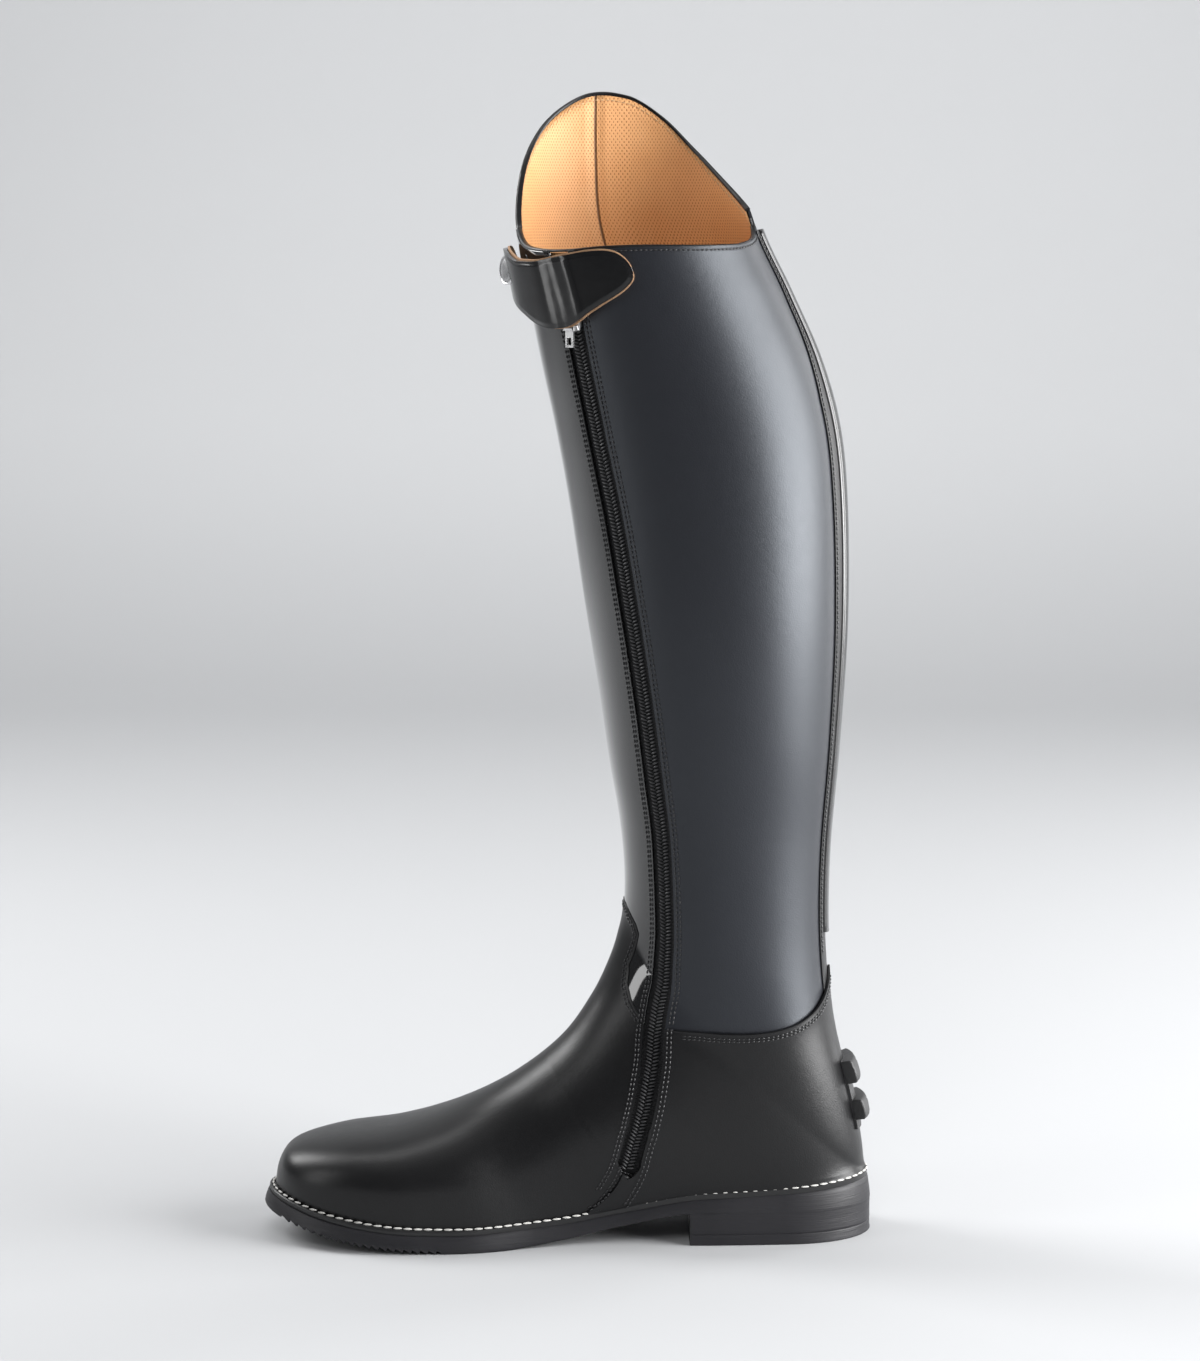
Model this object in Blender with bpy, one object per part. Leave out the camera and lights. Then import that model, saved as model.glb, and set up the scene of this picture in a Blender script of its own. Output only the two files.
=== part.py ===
"""Dress riding boot, a right boot standing on its sole.

Metres. +X points to the toe, +Y to the inner side of the leg, +Z up.
The origin lies on the ground under the middle of the heel.
"""
import functools
import math

import bmesh
import bpy
import numpy as np
from mathutils import Matrix, Vector

# Driving sizes of the sole
SOLE_LENGTH = 0.2755
BALL_WIDTH = 0.097
HEEL_LENGTH = 0.083
HEEL_HEIGHT = 0.0144
TOP_LIFT = 0.0048
SOLE_THICKNESS = 0.0077
SEAT_RISE = 0.0178
TOE_SPRING = 0.014
WELT_THICKNESS = 0.0026
WELT_BREADTH = 0.014
SOLE_FLARE = 0.0025
UPPER_INSET = 0.0064
INSOLE_THICKNESS = 0.003
TREAD_PITCH = 0.0037
TREAD_DEPTH = 0.0012

# Driving sizes of the upper
WALL = 0.0022
OVERLAY = 0.0012
OVERLAY_GAP = 0.0005
GAP = 0.0003
INSTEP_HEIGHT = 0.104
SHAFT_HEIGHT = 0.4454
CROWN_RISE = 0.0686
CALF_DEPTH = 0.124
CALF_WIDTH = 0.104

# Driving sizes of the zip, the strap and the hardware
ZIP_SLOT = 0.0098
TAPE_THICKNESS = 0.0008
CHAIN_WIDTH = 0.0046
CHAIN_THICKNESS = 0.0017
SLIDER_LENGTH = 0.0105
SLIDER_THICKNESS = 0.0028
SLIDER_SINK = 0.0008
SLIDER_NOSE = 0.0016
PULL_LENGTH = 0.0082
PULL_WIDTH = 0.0043
PULL_THICKNESS = 0.001
PULL_BORDER = 0.001
WINDOW_LENGTH = 0.0032
PIN_RADIUS = 0.0005
HINGE_DROP = 0.0029
HINGE_LIFT = 0.0036
STRAP_THICKNESS = 0.0026
SNAP_DIAMETER = 0.0135
SNAP_THICKNESS = 0.003
SPINE_THICKNESS = 0.0012
SPUR_REST_DEPTH = 0.0062
GUSSET_WIDTH = 0.016
GUSSET_DEPTH = 0.014
HEEL_TAPER = 0.001

# Mesh fineness
SIDE_STEPS = 12
SOLE_STEPS = 26
RIBBON_STEPS = 30
REGION_STEPS = 8
HEEL_STEPS = 12
SNAP_STEPS = 20
FOOT_RINGS = (0.0, 0.5, 1.0, 1.6, 2.3, 3.0, 3.75, 4.5, 5.25, 6.0,
              6.4, 6.8, 7.2, 7.6, 8.0, 8.4, 8.9, 9.4, 9.75, 9.92)
LEG_RINGS = (0.0, 0.45, 0.9, 1.4, 2.0, 2.6, 3.1, 3.8, 4.64, 5.48, 6.32, 7.16, 8.0)
COLLAR_RINGS = (0.22, 0.44, 0.64, 0.82, 1.0)
BISECTIONS = 40

# Shares and clearances
MM = 0.001
SEAM_GAP = 0.004
TREAD_START = 0.70
TREAD_END = 0.975
SNAP_HEIGHT = 0.975
EAR_THICKNESS = 0.0008
EAR_BREADTH = 0.0022
EYE_RADIUS = 0.00125
GUSSET_CLEARANCE = 0.0005
CUT_DEPTH = 0.002
WELD = 2e-6
TURN = 0.01
FULLNESS = 1.03
TAPE_TOP = 0.99
TAPE_STOP = 0.02
CHAIN_STOP = 0.04

# Sole outline between the round ends: where along the length, then the half widths as shares of
# the ball width on the inner and the outer side
OUTLINE_START = 0.15
OUTLINE_END = 0.75
OUTLINE = (
    # inner, outer
    (0.320, 0.320),
    (0.330, 0.340),
    (0.304, 0.352),
    (0.284, 0.388),
    (0.345, 0.456),
    (0.466, 0.510),
    (0.490, 0.505),
)
TOE_SWING = 0.004

# Heights of the sole at even steps from the back of the heel to the toe: the top of the welt as a
# share of the seat's rise, and the underside as a share of the heel's height or the toe spring
WELT_TOP = (1.0, 0.88, 0.785, 0.695, 0.415, 0.14, 0.022, 0.0, 0.084, 0.32, 0.725)
UNDERSIDE = (1.0, 1.0, 1.0, 1.0, 0.66, 0.24, 0.0, 0.0, 0.14, 0.44, 0.97)

# Sections of the foot, from the toe to the heel. Feather is the place where the section meets the
# sole, from 1 at the toe tip to 0 at the back of the heel. Ridge is the top of the section, in
# shares of the sole length and levels. A level counts 0 to 1 from the ground to the instep height
# and 1 to 2 from there to the shaft height. Half is the half width as a share of the calf
# width, follow tells how far it follows the feather instead, widest is the height share of the
# widest place below the ridge and full is the squareness over the ridge.
FOOT_SECTIONS = (
    # feather, ridge_x, ridge_z, half, follow, widest, full
    (1.000, 0.8258, 0.2320, 0.000, 1.0, 0.80, 2.3),
    (0.935, 0.8185, 0.3150, 0.100, 1.0, 0.80, 2.4),
    (0.855, 0.7930, 0.3850, 0.250, 1.0, 0.72, 2.5),
    (0.760, 0.7200, 0.4320, 0.370, 1.0, 0.66, 2.5),
    (0.665, 0.6250, 0.4670, 0.420, 1.0, 0.62, 2.3),
    (0.575, 0.5290, 0.5480, 0.420, 1.0, 0.60, 2.1),
    (0.480, 0.4350, 0.6780, 0.400, 0.8, 0.58, 2.0),
    (0.375, 0.3560, 0.8450, 0.355, 0.4, 0.56, 2.0),
    (0.260, 0.3060, 1.0091, 0.330, 0.1, 0.52, 2.0),
    (0.130, 0.2770, 1.0579, 0.325, 0.0, 0.47, 2.0),
)

# Sections of the leg, from the back of the heel to the top of the crown: the back and the front
# in shares of the calf depth and levels
LEG_SECTIONS = (
    # back_x, back_z, front_x, front_z, half, widest, full
    (-0.3008, 0.2741, 0.5823, 1.0952, 0.322, 0.44, 2.00),
    (-0.2650, 0.5568, 0.5640, 1.1298, 0.335, 0.44, 2.00),
    (-0.1900, 0.8908, 0.5620, 1.1833, 0.352, 0.46, 2.00),
    (-0.1550, 1.0802, 0.5790, 1.2485, 0.365, 0.48, 2.00),
    (-0.1550, 1.2042, 0.6160, 1.3268, 0.396, 0.50, 2.05),
    (-0.1870, 1.3503, 0.6580, 1.4312, 0.452, 0.52, 2.10),
    (-0.2120, 1.5108, 0.7080, 1.5434, 0.492, 0.53, 2.10),
    (-0.2080, 1.6608, 0.7600, 1.6673, 0.502, 0.53, 2.10),
    (-0.1800, 1.7626, 0.8080, 1.7626, 0.500, 0.52, 2.10),
    (-0.1120, 1.8500, 0.8600, 1.8500, 0.494, 0.51, 2.10),
    (-0.0080, 1.9348, 0.9060, 1.9348, 0.486, 0.50, 2.15),
    (0.1080, 2.0261, 0.9510, 2.0261, 0.481, 0.50, 2.20),
    (0.1410, 2.1174, 0.9590, 2.1174, 0.481, 0.50, 2.20),
    (0.1410, 2.2087, 0.9590, 2.2087, 0.481, 0.50, 2.20),
)

# Edge of the collar at even steps from the front round to the back, above the shaft height in
# shares of the crown's rise, on the inner and the outer side
COLLAR = (
    # inner, outer
    (0.10, 0.10),
    (0.00, 0.46),
    (-0.03, 0.71),
    (-0.03, 0.88),
    (-0.01, 0.98),
    (0.00, 0.96),
    (0.00, 0.82),
    (0.00, 0.61),
    (0.01, 0.42),
    (0.06, 0.28),
    (0.19, 0.19),
)

# Line down the middle of the zip: section of the upper, counted from the toe, and share around
ZIP_LINE = (
    # section, around
    (21.60, 0.270),
    (20.30, 0.268),
    (19.10, 0.255),
    (17.76, 0.251),
    (16.48, 0.268),
    (15.51, 0.282),
    (14.38, 0.295),
    (13.55, 0.298),
    (12.75, 0.286),
    (11.75, 0.271),
    (10.71, 0.256),
    (9.85, 0.262),
    (9.20, 0.284),
    (8.60, 0.330),
    (8.11, 0.396),
    (7.60, 0.485),
    (7.07, 0.616),
    (6.61, 0.800),
)

# Edge of the vamp on either side, from the sole up to its peak on the instep
VAMP_EDGE = (
    # section, around
    (6.00, 1.000),
    (6.15, 0.975),
    (6.50, 0.845),
    (7.00, 0.640),
    (7.50, 0.508),
    (8.00, 0.415),
    (8.50, 0.335),
    (8.75, 0.225),
    (9.00, 0.180),
    (9.50, 0.150),
    (9.90, 0.150),
    (10.40, 0.154),
    (10.80, 0.158),
    (11.00, 0.138),
    (11.20, 0.070),
)

# Top line of the counter on either side, from the zip back to its peak up the heel
COUNTER_EDGE = (
    # section, around
    (8.75, 0.336),
    (9.00, 0.346),
    (9.50, 0.372),
    (9.90, 0.395),
    (10.40, 0.432),
    (10.80, 0.485),
    (11.20, 0.556),
    (11.70, 0.657),
    (12.20, 0.768),
    (12.52, 0.856),
    (12.72, 0.960),
)

# Half width of the back stay, as a share around, from its foot to its top
SPINE_EDGE = (
    # section, half width
    (13.10, 0.112),
    (14.00, 0.110),
    (15.00, 0.116),
    (16.20, 0.132),
    (17.30, 0.136),
    (18.40, 0.130),
    (19.50, 0.095),
    (20.40, 0.080),
)

# Strap from its free end past the snap to the lobe sewn behind the zip: share around, lower and
# upper edge in shares of the shaft height, and the lift off the leather in millimetres
STRAP = (
    # around, lower, upper, lift
    (-0.050, 0.9700, 0.9880, 1.0),
    (-0.028, 0.9600, 0.9975, 1.0),
    (0.005, 0.9560, 0.9990, 1.0),
    (0.060, 0.9445, 0.9945, 1.5),
    (0.126, 0.9345, 0.9885, 3.2),
    (0.176, 0.9265, 0.9880, 4.2),
    (0.222, 0.9245, 0.9885, 4.4),
    (0.268, 0.9270, 0.9915, 4.2),
    (0.306, 0.9335, 0.9935, 2.0),
    (0.326, 0.9380, 0.9945, 0.35),
    (0.366, 0.9440, 0.9960, 0.35),
    (0.412, 0.9535, 0.9965, 0.35),
    (0.442, 0.9640, 0.9925, 0.35),
    (0.464, 0.9750, 0.9820, 0.35),
)

# Spur rest up the back of the heel: its levels, and how far it stands out as a share of its depth
SPUR_REST = (
    # level, out
    (0.4604, 0.16),
    (0.4989, 0.19),
    (0.5045, 0.86),
    (0.5203, 1.00),
    (0.5675, 1.00),
    (0.5824, 0.86),
    (0.5880, 0.19),
    (0.6553, 0.19),
    (0.6608, 0.86),
    (0.6767, 1.00),
    (0.7345, 1.00),
    (0.7503, 0.86),
    (0.7559, 0.16),
)
SPUR_REST_SPAN = 0.110

HEEL_BACK = -HEEL_LENGTH / 2
HEEL_BREAST = HEEL_LENGTH / 2
TOE_TIP = HEEL_BACK + SOLE_LENGTH
HEEL_ROW = len(FOOT_SECTIONS)
LAST_ROW = HEEL_ROW + len(LEG_SECTIONS) - 1
FLAT_ROW = HEEL_ROW + 8


def clear_scene():
    for item in list(bpy.data.objects):
        bpy.data.objects.remove(item, do_unlink=True)


def smooth(rows, place):
    """Catmull-Rom curve through evenly spaced rows; place counts rows from 0."""
    last = len(rows) - 1
    place = min(max(place, 0.0), float(last))
    first = min(int(place), last - 1)
    part = place - first
    before = np.asarray(rows[first], float)
    after = np.asarray(rows[first + 1], float)
    earlier = np.asarray(rows[first - 1], float) if first > 0 else 2 * before - after
    later = np.asarray(rows[first + 2], float) if first + 2 <= last else 2 * after - before
    cubic = 3 * (before - after) + later - earlier
    square = 2 * earlier - 5 * before + 4 * after - later
    return before + 0.5 * part * (after - earlier + part * (square + part * cubic))


def material(name, colour, roughness, metallic=0.0):
    made = bpy.data.materials.new(name)
    made.use_nodes = True
    shader = made.node_tree.nodes["Principled BSDF"]
    shader.inputs["Base Color"].default_value = (*colour, 1.0)
    shader.inputs["Roughness"].default_value = roughness
    shader.inputs["Metallic"].default_value = metallic
    return made


def add_object(name, mesh_data, finish, sharp=35.0):
    """Close up a bmesh into a named object with its material."""
    bmesh.ops.remove_doubles(mesh_data, verts=mesh_data.verts, dist=WELD / 2)
    bmesh.ops.recalc_face_normals(mesh_data, faces=mesh_data.faces)
    mesh = bpy.data.meshes.new(name)
    mesh_data.to_mesh(mesh)
    mesh_data.free()
    mesh.shade_smooth()
    mesh.set_sharp_from_angle(angle=math.radians(sharp))
    made = bpy.data.objects.new(name, mesh)
    bpy.context.scene.collection.objects.link(made)
    if finish is not None:
        mesh.materials.append(finish)
    return made


def boolean(target, cutter, operation="DIFFERENCE"):
    cut = target.modifiers.new("cut", "BOOLEAN")
    cut.operation = operation
    cut.solver = "EXACT"
    cut.object = cutter
    cutter.hide_render = True
    cutter.display_type = "WIRE"


def sole_plan(feather, inset=0.0):
    """Length and the two half widths of the sole's outline, drawn in by inset."""
    share = (1 - math.cos(math.pi * feather)) / 2
    back = HEEL_BACK + 0.65 * inset
    along = back + share * (TOE_TIP - inset - back)
    middle = min(max(share, OUTLINE_START), OUTLINE_END)
    steps = len(OUTLINE) - 1
    row = (middle - OUTLINE_START) / (OUTLINE_END - OUTLINE_START) * steps
    halves = smooth(OUTLINE, row) * (BALL_WIDTH - 1.8 * inset)
    if share < OUTLINE_START:
        halves = halves * math.sqrt(max(0.0, 1 - (1 - share / OUTLINE_START) ** 2))
    if share > OUTLINE_END:
        halves = halves * math.sqrt(max(0.0, 1 - ((share - OUTLINE_END) / (1 - OUTLINE_END)) ** 2))
    swing = TOE_SWING * max(0.0, (share - 0.55) / 0.45) ** 2
    return along, swing + halves[0], swing - halves[1]


def welt_top(along):
    share = (along - HEEL_BACK) / SOLE_LENGTH
    return SOLE_THICKNESS + WELT_THICKNESS + SEAT_RISE * smooth(WELT_TOP, 10 * share)[()]


def underside(along):
    share = (along - HEEL_BACK) / SOLE_LENGTH
    level = TOE_SPRING if share > 0.65 else HEEL_HEIGHT
    return max(0.0, level * smooth(UNDERSIDE, 10 * share)[()])


def level_height(level):
    """Height of a level: 0 the ground, 1 the instep height, 2 the shaft height."""
    if level < 1:
        return level * INSTEP_HEIGHT
    return INSTEP_HEIGHT + (level - 1) * (SHAFT_HEIGHT - INSTEP_HEIGHT)


def section_rows():
    """All sections in metres: front x, z, feather, back x, z, half, follow, widest, full."""
    rows = []
    for feather, ridge_x, ridge_z, half, follow, widest, full in FOOT_SECTIONS:
        along = sole_plan(feather, UPPER_INSET)[0]
        rows.append((ridge_x * SOLE_LENGTH, level_height(ridge_z), feather, along,
                     welt_top(along) + GAP, half * CALF_WIDTH, follow, widest, full))
    for back_x, back_z, front_x, front_z, half, widest, full in LEG_SECTIONS:
        rows.append((front_x * CALF_DEPTH, level_height(front_z), 0.0, back_x * CALF_DEPTH,
                     level_height(back_z), half * CALF_WIDTH, 0.0, widest, full))
    heel = sole_plan(0.0, UPPER_INSET)[0]
    row = list(rows[HEEL_ROW])
    row[3:5] = heel, welt_top(heel) + GAP
    rows[HEEL_ROW] = tuple(row)
    rows[0] = (rows[0][3], rows[0][4]) + rows[0][2:]
    return rows


ROWS = section_rows()


@functools.lru_cache(maxsize=None)
def upper_point(row, around):
    """Point of the upper's outer face. Around runs from 0 at the ridge to 1 (inner side) or -1
    (outer side) at the back of the leg, or at the feather under the foot."""
    front_x, front_z, feather, back_x, back_z, half, follow, widest, full = smooth(ROWS, row)
    side = 1.0 if around >= 0 else -1.0
    feather = min(max(feather, 0.0), 1.0)
    centre = 0.0
    edge = 0.0
    if row < HEEL_ROW:
        plan = sole_plan(feather, UPPER_INSET)
        back_x = plan[0]
        back_z = welt_top(back_x) + GAP
        centre = TOE_SWING * max(0.0, 1 - row / 4)
        edge = abs((plan[1] if side > 0 else plan[2]) - centre)
        half = follow * edge * FULLNESS + (1 - follow) * max(half, edge)
    length = math.hypot(back_x - front_x, back_z - front_z)
    if length < 1e-9:
        return Vector((back_x, centre, back_z))
    depth = widest * length
    inset = max(half - edge, 1e-6)
    arc = math.acos(min(1.0, edge / max(half, 1e-9)))
    arc = max(arc, 0.02)
    upper = math.hypot(depth, half)
    lower = math.hypot(length - depth, inset)
    turn = upper / (upper + lower)
    place = abs(around)
    if place <= turn:
        angle = place / turn * math.pi / 2
        reach = half * math.sin(angle) ** (2 / full)
        down = depth * (1 - math.cos(angle) ** (2 / full))
    else:
        angle = (place - turn) / (1 - turn) * arc
        reach = half - inset * (1 - math.cos(angle)) / (1 - math.cos(arc))
        down = depth + (length - depth) * math.sin(angle) / math.sin(arc)
    share = down / length
    return Vector((front_x + (back_x - front_x) * share, centre + side * reach,
                   front_z + (back_z - front_z) * share))


def row_at_height(height):
    """Row of the level sections at the top of the leg whose height is given."""
    low = float(FLAT_ROW)
    high = float(LAST_ROW)
    for _ in range(BISECTIONS):
        middle = (low + high) / 2
        if smooth(ROWS, middle)[1] < height:
            low = middle
        else:
            high = middle
    return (low + high) / 2


def collar_height(around):
    rises = smooth(COLLAR, 10 * abs(around))
    return SHAFT_HEIGHT + CROWN_RISE * rises[0 if around >= 0 else 1]


@functools.lru_cache(maxsize=None)
def upper_normal(row, around):
    """Outward direction of the upper's face."""
    if row < 5 * TURN:
        return Vector((1.0, 0.0, 0.0))
    if abs(around) > 0.995 and row >= HEEL_ROW:
        inner = upper_normal(row, 0.985)
        outer = upper_normal(row, -0.985)
        return Vector((inner.x + outer.x, 0.0, inner.z + outer.z)).normalized()
    left = max(-0.999, around - TURN)
    right = min(0.999, around + TURN)
    if abs(around) < TURN:
        left = -TURN
        right = TURN
    across = upper_point(row, right) - upper_point(row, left)
    low = max(0.0, row - 5 * TURN)
    high = min(float(LAST_ROW), row + 5 * TURN)
    along = upper_point(high, around) - upper_point(low, around)
    normal = across.cross(along).normalized()
    if row < HEEL_ROW and abs(around) > 0.995:
        normal = Vector((normal.x, normal.y, 0.0)).normalized()
    return normal


def upper_skin(row, around, out):
    return upper_point(row, around) + out * upper_normal(row, around)


def ring_rows():
    """Sections at which the upper has a ring of corners, up to the last level one."""
    return list(FOOT_RINGS) + [HEEL_ROW + step for step in LEG_RINGS]


def edge_at(table, row):
    """Share around of an edge's table at a section."""
    places = [entry[0] for entry in table]
    return float(np.interp(row, places, [entry[1] for entry in table]))


def sheet_corner(place, out, drop):
    """Corner of a sheet; at the feather it lies just over the welt, or lower by drop."""
    row, around = place[:2]
    corner = upper_skin(row, around, out)
    if row < 5 * TURN or (abs(around) == 1 and row < HEEL_ROW):
        corner.z = welt_top(corner.x) + GAP - drop
    return corner


def add_sheet(made, grid, drop=0.0):
    """Add a closed sheet over a grid of (row, around, low, high) places of the upper; it has no
    rim along the back of the leg, where two sides of one sheet meet."""
    layers = []
    for pick in (3, 2):
        layers.append([[made.verts.new(sheet_corner(place, place[pick], drop))
                        for place in ring] for ring in grid])
    for layer in layers:
        for first, second in zip(layer, layer[1:]):
            for index in range(len(first) - 1):
                made.faces.new((first[index], first[index + 1], second[index + 1]))
                made.faces.new((first[index], second[index + 1], second[index]))
    high, low = layers
    for end in (0, -1):
        for index in range(len(grid[end]) - 1):
            made.faces.new((high[end][index], high[end][index + 1],
                            low[end][index + 1], low[end][index]))
    for index in range(len(grid) - 1):
        for end in (0, -1):
            at_back = abs(grid[index][end][1]) == 1 and grid[index][end][0] >= HEEL_ROW
            if not at_back:
                made.faces.new((high[index][end], high[index + 1][end],
                                low[index + 1][end], low[index][end]))


def finish_sheet(name, made, finish):
    bmesh.ops.remove_doubles(made, verts=made.verts, dist=WELD)
    bmesh.ops.dissolve_degenerate(made, edges=made.edges, dist=WELD)
    return add_object(name, made, finish)


def zip_frames(first, last, steps):
    """Points down the zip with their directions across, outward and down the line."""
    frames = []
    for step in range(steps + 1):
        place = first + (last - first) * step / steps
        row, around = smooth(ZIP_LINE, place)
        ahead = smooth(ZIP_LINE, min(place + 5 * TURN, len(ZIP_LINE) - 1.0))
        behind = smooth(ZIP_LINE, max(place - 5 * TURN, 0.0))
        point = upper_point(row, around)
        out = upper_normal(row, around)
        down = (upper_point(*ahead) - upper_point(*behind)).normalized()
        down = (down - out * down.dot(out)).normalized()
        frames.append((point, out.cross(down), out, down))
    return frames


def zip_place(height):
    """Place down the zip line, counted in its rows, that lies at a height."""
    low = 0.0
    high = len(ZIP_LINE) - 1.0
    for _ in range(BISECTIONS):
        middle = (low + high) / 2
        if upper_point(*smooth(ZIP_LINE, middle)).z > height:
            low = middle
        else:
            high = middle
    return (low + high) / 2


def ribbon(name, frames, profile, finish):
    """Loft a closed profile of (across, out) corners down the frames."""
    made = bmesh.new()
    rings = [[made.verts.new(point + across * side + out * lift) for side, lift in profile]
             for point, across, out, _ in frames]
    for first, second in zip(rings, rings[1:]):
        for index in range(len(profile)):
            after = (index + 1) % len(profile)
            made.faces.new((first[index], first[after], second[after], second[index]))
    made.faces.new(rings[0])
    made.faces.new(rings[-1][::-1])
    return add_object(name, made, finish)


def box_profile(half, low, high):
    return [(-half, low), (half, low), (half, high), (-half, high)]


def make_upper(calf):
    """Foot, leg and crown as one hollow leather wall."""
    columns = [step / SIDE_STEPS for step in range(-SIDE_STEPS, SIDE_STEPS + 1)]
    grid = [[(row, around, -WALL, 0.0) for around in columns] for row in ring_rows()]
    base = smooth(ROWS, ring_rows()[-1])[1]
    for share in COLLAR_RINGS:
        ring = []
        for around in columns:
            height = base + share * (collar_height(around) - base)
            ring.append((row_at_height(height), around, -WALL, 0.0))
        grid.append(ring)
    made = bmesh.new()
    add_sheet(made, grid)
    return finish_sheet("upper", made, calf)


def shell_columns(first):
    """Shares around of the upper's own columns, from the first one back."""
    return [step / SIDE_STEPS for step in range(first, SIDE_STEPS + 1)]


def make_vamp(calf, slot):
    """Leather over the toes and the instep, up to the zip."""
    columns = [-share for share in shell_columns(1)[::-1]] + shell_columns(0)
    rows = [row for row in ring_rows() if row < VAMP_EDGE[-1][0] + 0.5]
    made = bmesh.new()
    add_sheet(made, [[(row, around, OVERLAY_GAP, OVERLAY_GAP + OVERLAY) for around in columns]
                     for row in rows])
    vamp = finish_sheet("vamp", made, calf)
    boolean(vamp, slot)
    edges = [(row, 1.0) for row in rows if row < VAMP_EDGE[0][0]] + list(VAMP_EDGE)
    region = []
    for row, edge in edges:
        reach = edge if edge == 1.0 else edge - SEAM_GAP
        region.append([(row, reach * step / REGION_STEPS, -CUT_DEPTH, 2 * CUT_DEPTH)
                       for step in range(-REGION_STEPS, REGION_STEPS + 1)])
    guide = bmesh.new()
    add_sheet(guide, region, drop=2 * CUT_DEPTH)
    boolean(vamp, finish_sheet("vamp_guide", guide, None), "INTERSECT")
    return vamp


def make_counter(calf, slot):
    """Leather round the heel, from the zip back and up to its peak."""
    edges = [(row, edge + SEAM_GAP) for row, edge in VAMP_EDGE if 6.1 < row < 8.7]
    edges += COUNTER_EDGE
    first = edges[0][0] - 0.5
    last = edges[-1][0] + 0.5
    rows = [row for row in ring_rows() if first < row < last]
    made = bmesh.new()
    guide = bmesh.new()
    for side in (1, -1):
        columns = sorted(side * around for around in shell_columns(3))
        add_sheet(made, [[(row, around, OVERLAY_GAP, OVERLAY_GAP + OVERLAY) for around in columns]
                         for row in rows])
        region = []
        for row, edge in edges:
            region.append([(row, side * (edge + (1 - edge) * step / REGION_STEPS),
                            -CUT_DEPTH, 2 * CUT_DEPTH) for step in range(REGION_STEPS + 1)])
        add_sheet(guide, region, drop=2 * CUT_DEPTH)
    counter = finish_sheet("counter", made, calf)
    boolean(counter, slot)
    boolean(counter, finish_sheet("counter_guide", guide, None), "INTERSECT")
    return counter


def make_spine(patent):
    """Rounded back stay sewn over the back seam."""
    first = SPINE_EDGE[0][0]
    last = SPINE_EDGE[-1][0]
    rows = [row for row in ring_rows() if first <= row < last]
    rows += [rows[-1] + (last - rows[-1]) * step / 5 for step in range(1, 6)]
    made = bmesh.new()
    for side in (1, -1):
        grid = []
        for row in rows:
            half = edge_at(SPINE_EDGE, row)
            ring = []
            for share, rise in ((1.0, 0.6), (0.66, 0.85), (0.33, 0.96), (0.0, 1.0)):
                ring.append((row, side * (1 - half * share), GAP, GAP + SPINE_THICKNESS * rise))
            grid.append(ring)
        add_sheet(made, grid)
    return finish_sheet("back_stay", made, patent)


def make_strap(patent):
    """Closing strap: a lobe sewn behind the zip, over the zip and round the front to a snap."""
    across = 4
    grid = []
    for around, lower, upper, lift in STRAP:
        ring = []
        for step in range(across + 1):
            height = SHAFT_HEIGHT * (lower + (upper - lower) * step / across)
            thick = STRAP_THICKNESS * (0.75 if step in (0, across) else 1.0)
            ring.append((row_at_height(height), around, lift * MM, lift * MM + thick))
        grid.append(ring)
    made = bmesh.new()
    add_sheet(made, grid)
    return finish_sheet("strap", made, patent)


def strap_value(column, around):
    """Value of one column of the strap's table at a share around."""
    return float(np.interp(around, [entry[0] for entry in STRAP],
                           [entry[column] for entry in STRAP]))


def frame_matrix(point, across, out, down):
    """Matrix of a frame whose x runs across, y outward and z up the line."""
    matrix = Matrix((across, out, -down)).transposed().to_4x4()
    matrix.translation = point
    return matrix


def make_snap(metal):
    """Plain cap of the snap on the strap's free end."""
    height = SHAFT_HEIGHT * SNAP_HEIGHT
    row = row_at_height(height)
    point = upper_skin(row, 0.0, strap_value(3, 0.0) * MM + STRAP_THICKNESS + GAP)
    out = upper_normal(row, 0.0)
    made = bmesh.new()
    profile = ((0.86, 0.0), (1.0, 0.18), (1.0, 0.5), (0.9, 0.8), (0.62, 1.0))
    rings = []
    for share, rise in profile:
        ring = []
        for step in range(SNAP_STEPS):
            angle = 2 * math.pi * step / SNAP_STEPS
            radius = share * SNAP_DIAMETER / 2
            ring.append(made.verts.new((radius * math.cos(angle), radius * math.sin(angle),
                                        rise * SNAP_THICKNESS)))
        rings.append(ring)
    for first, second in zip(rings, rings[1:]):
        for index in range(SNAP_STEPS):
            after = (index + 1) % SNAP_STEPS
            made.faces.new((first[index], first[after], second[after], second[index]))
    made.faces.new(rings[0][::-1])
    made.faces.new(rings[-1])
    snap = add_object("snap_cap", made, metal)
    snap.rotation_mode = "QUATERNION"
    snap.rotation_quaternion = out.to_track_quat("Z", "Y")
    snap.location = point
    return snap


def make_spur_rest(rubber):
    """Moulded rest for a spur: a plate with two rounded bars across the back of the heel."""
    seat = OVERLAY_GAP + OVERLAY + GAP
    made = bmesh.new()
    for side in (1, -1):
        grid = []
        for level, out in SPUR_REST:
            row = row_at_back(level_height(level))
            ring = []
            for share in (1.0, 0.9, 0.5, 0.0):
                rise = out * (0.55 if share == 1.0 else 1.0)
                ring.append((row, side * (1 - SPUR_REST_SPAN * share), seat,
                             seat + rise * SPUR_REST_DEPTH))
            grid.append(ring)
        add_sheet(made, grid)
    return finish_sheet("spur_rest", made, rubber)


def row_at_back(height):
    """Section whose back lies at a height, between the heel and the calf."""
    low = float(HEEL_ROW)
    high = float(FLAT_ROW)
    for _ in range(BISECTIONS):
        middle = (low + high) / 2
        if smooth(ROWS, middle)[4] < height:
            low = middle
        else:
            high = middle
    return (low + high) / 2


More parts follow.
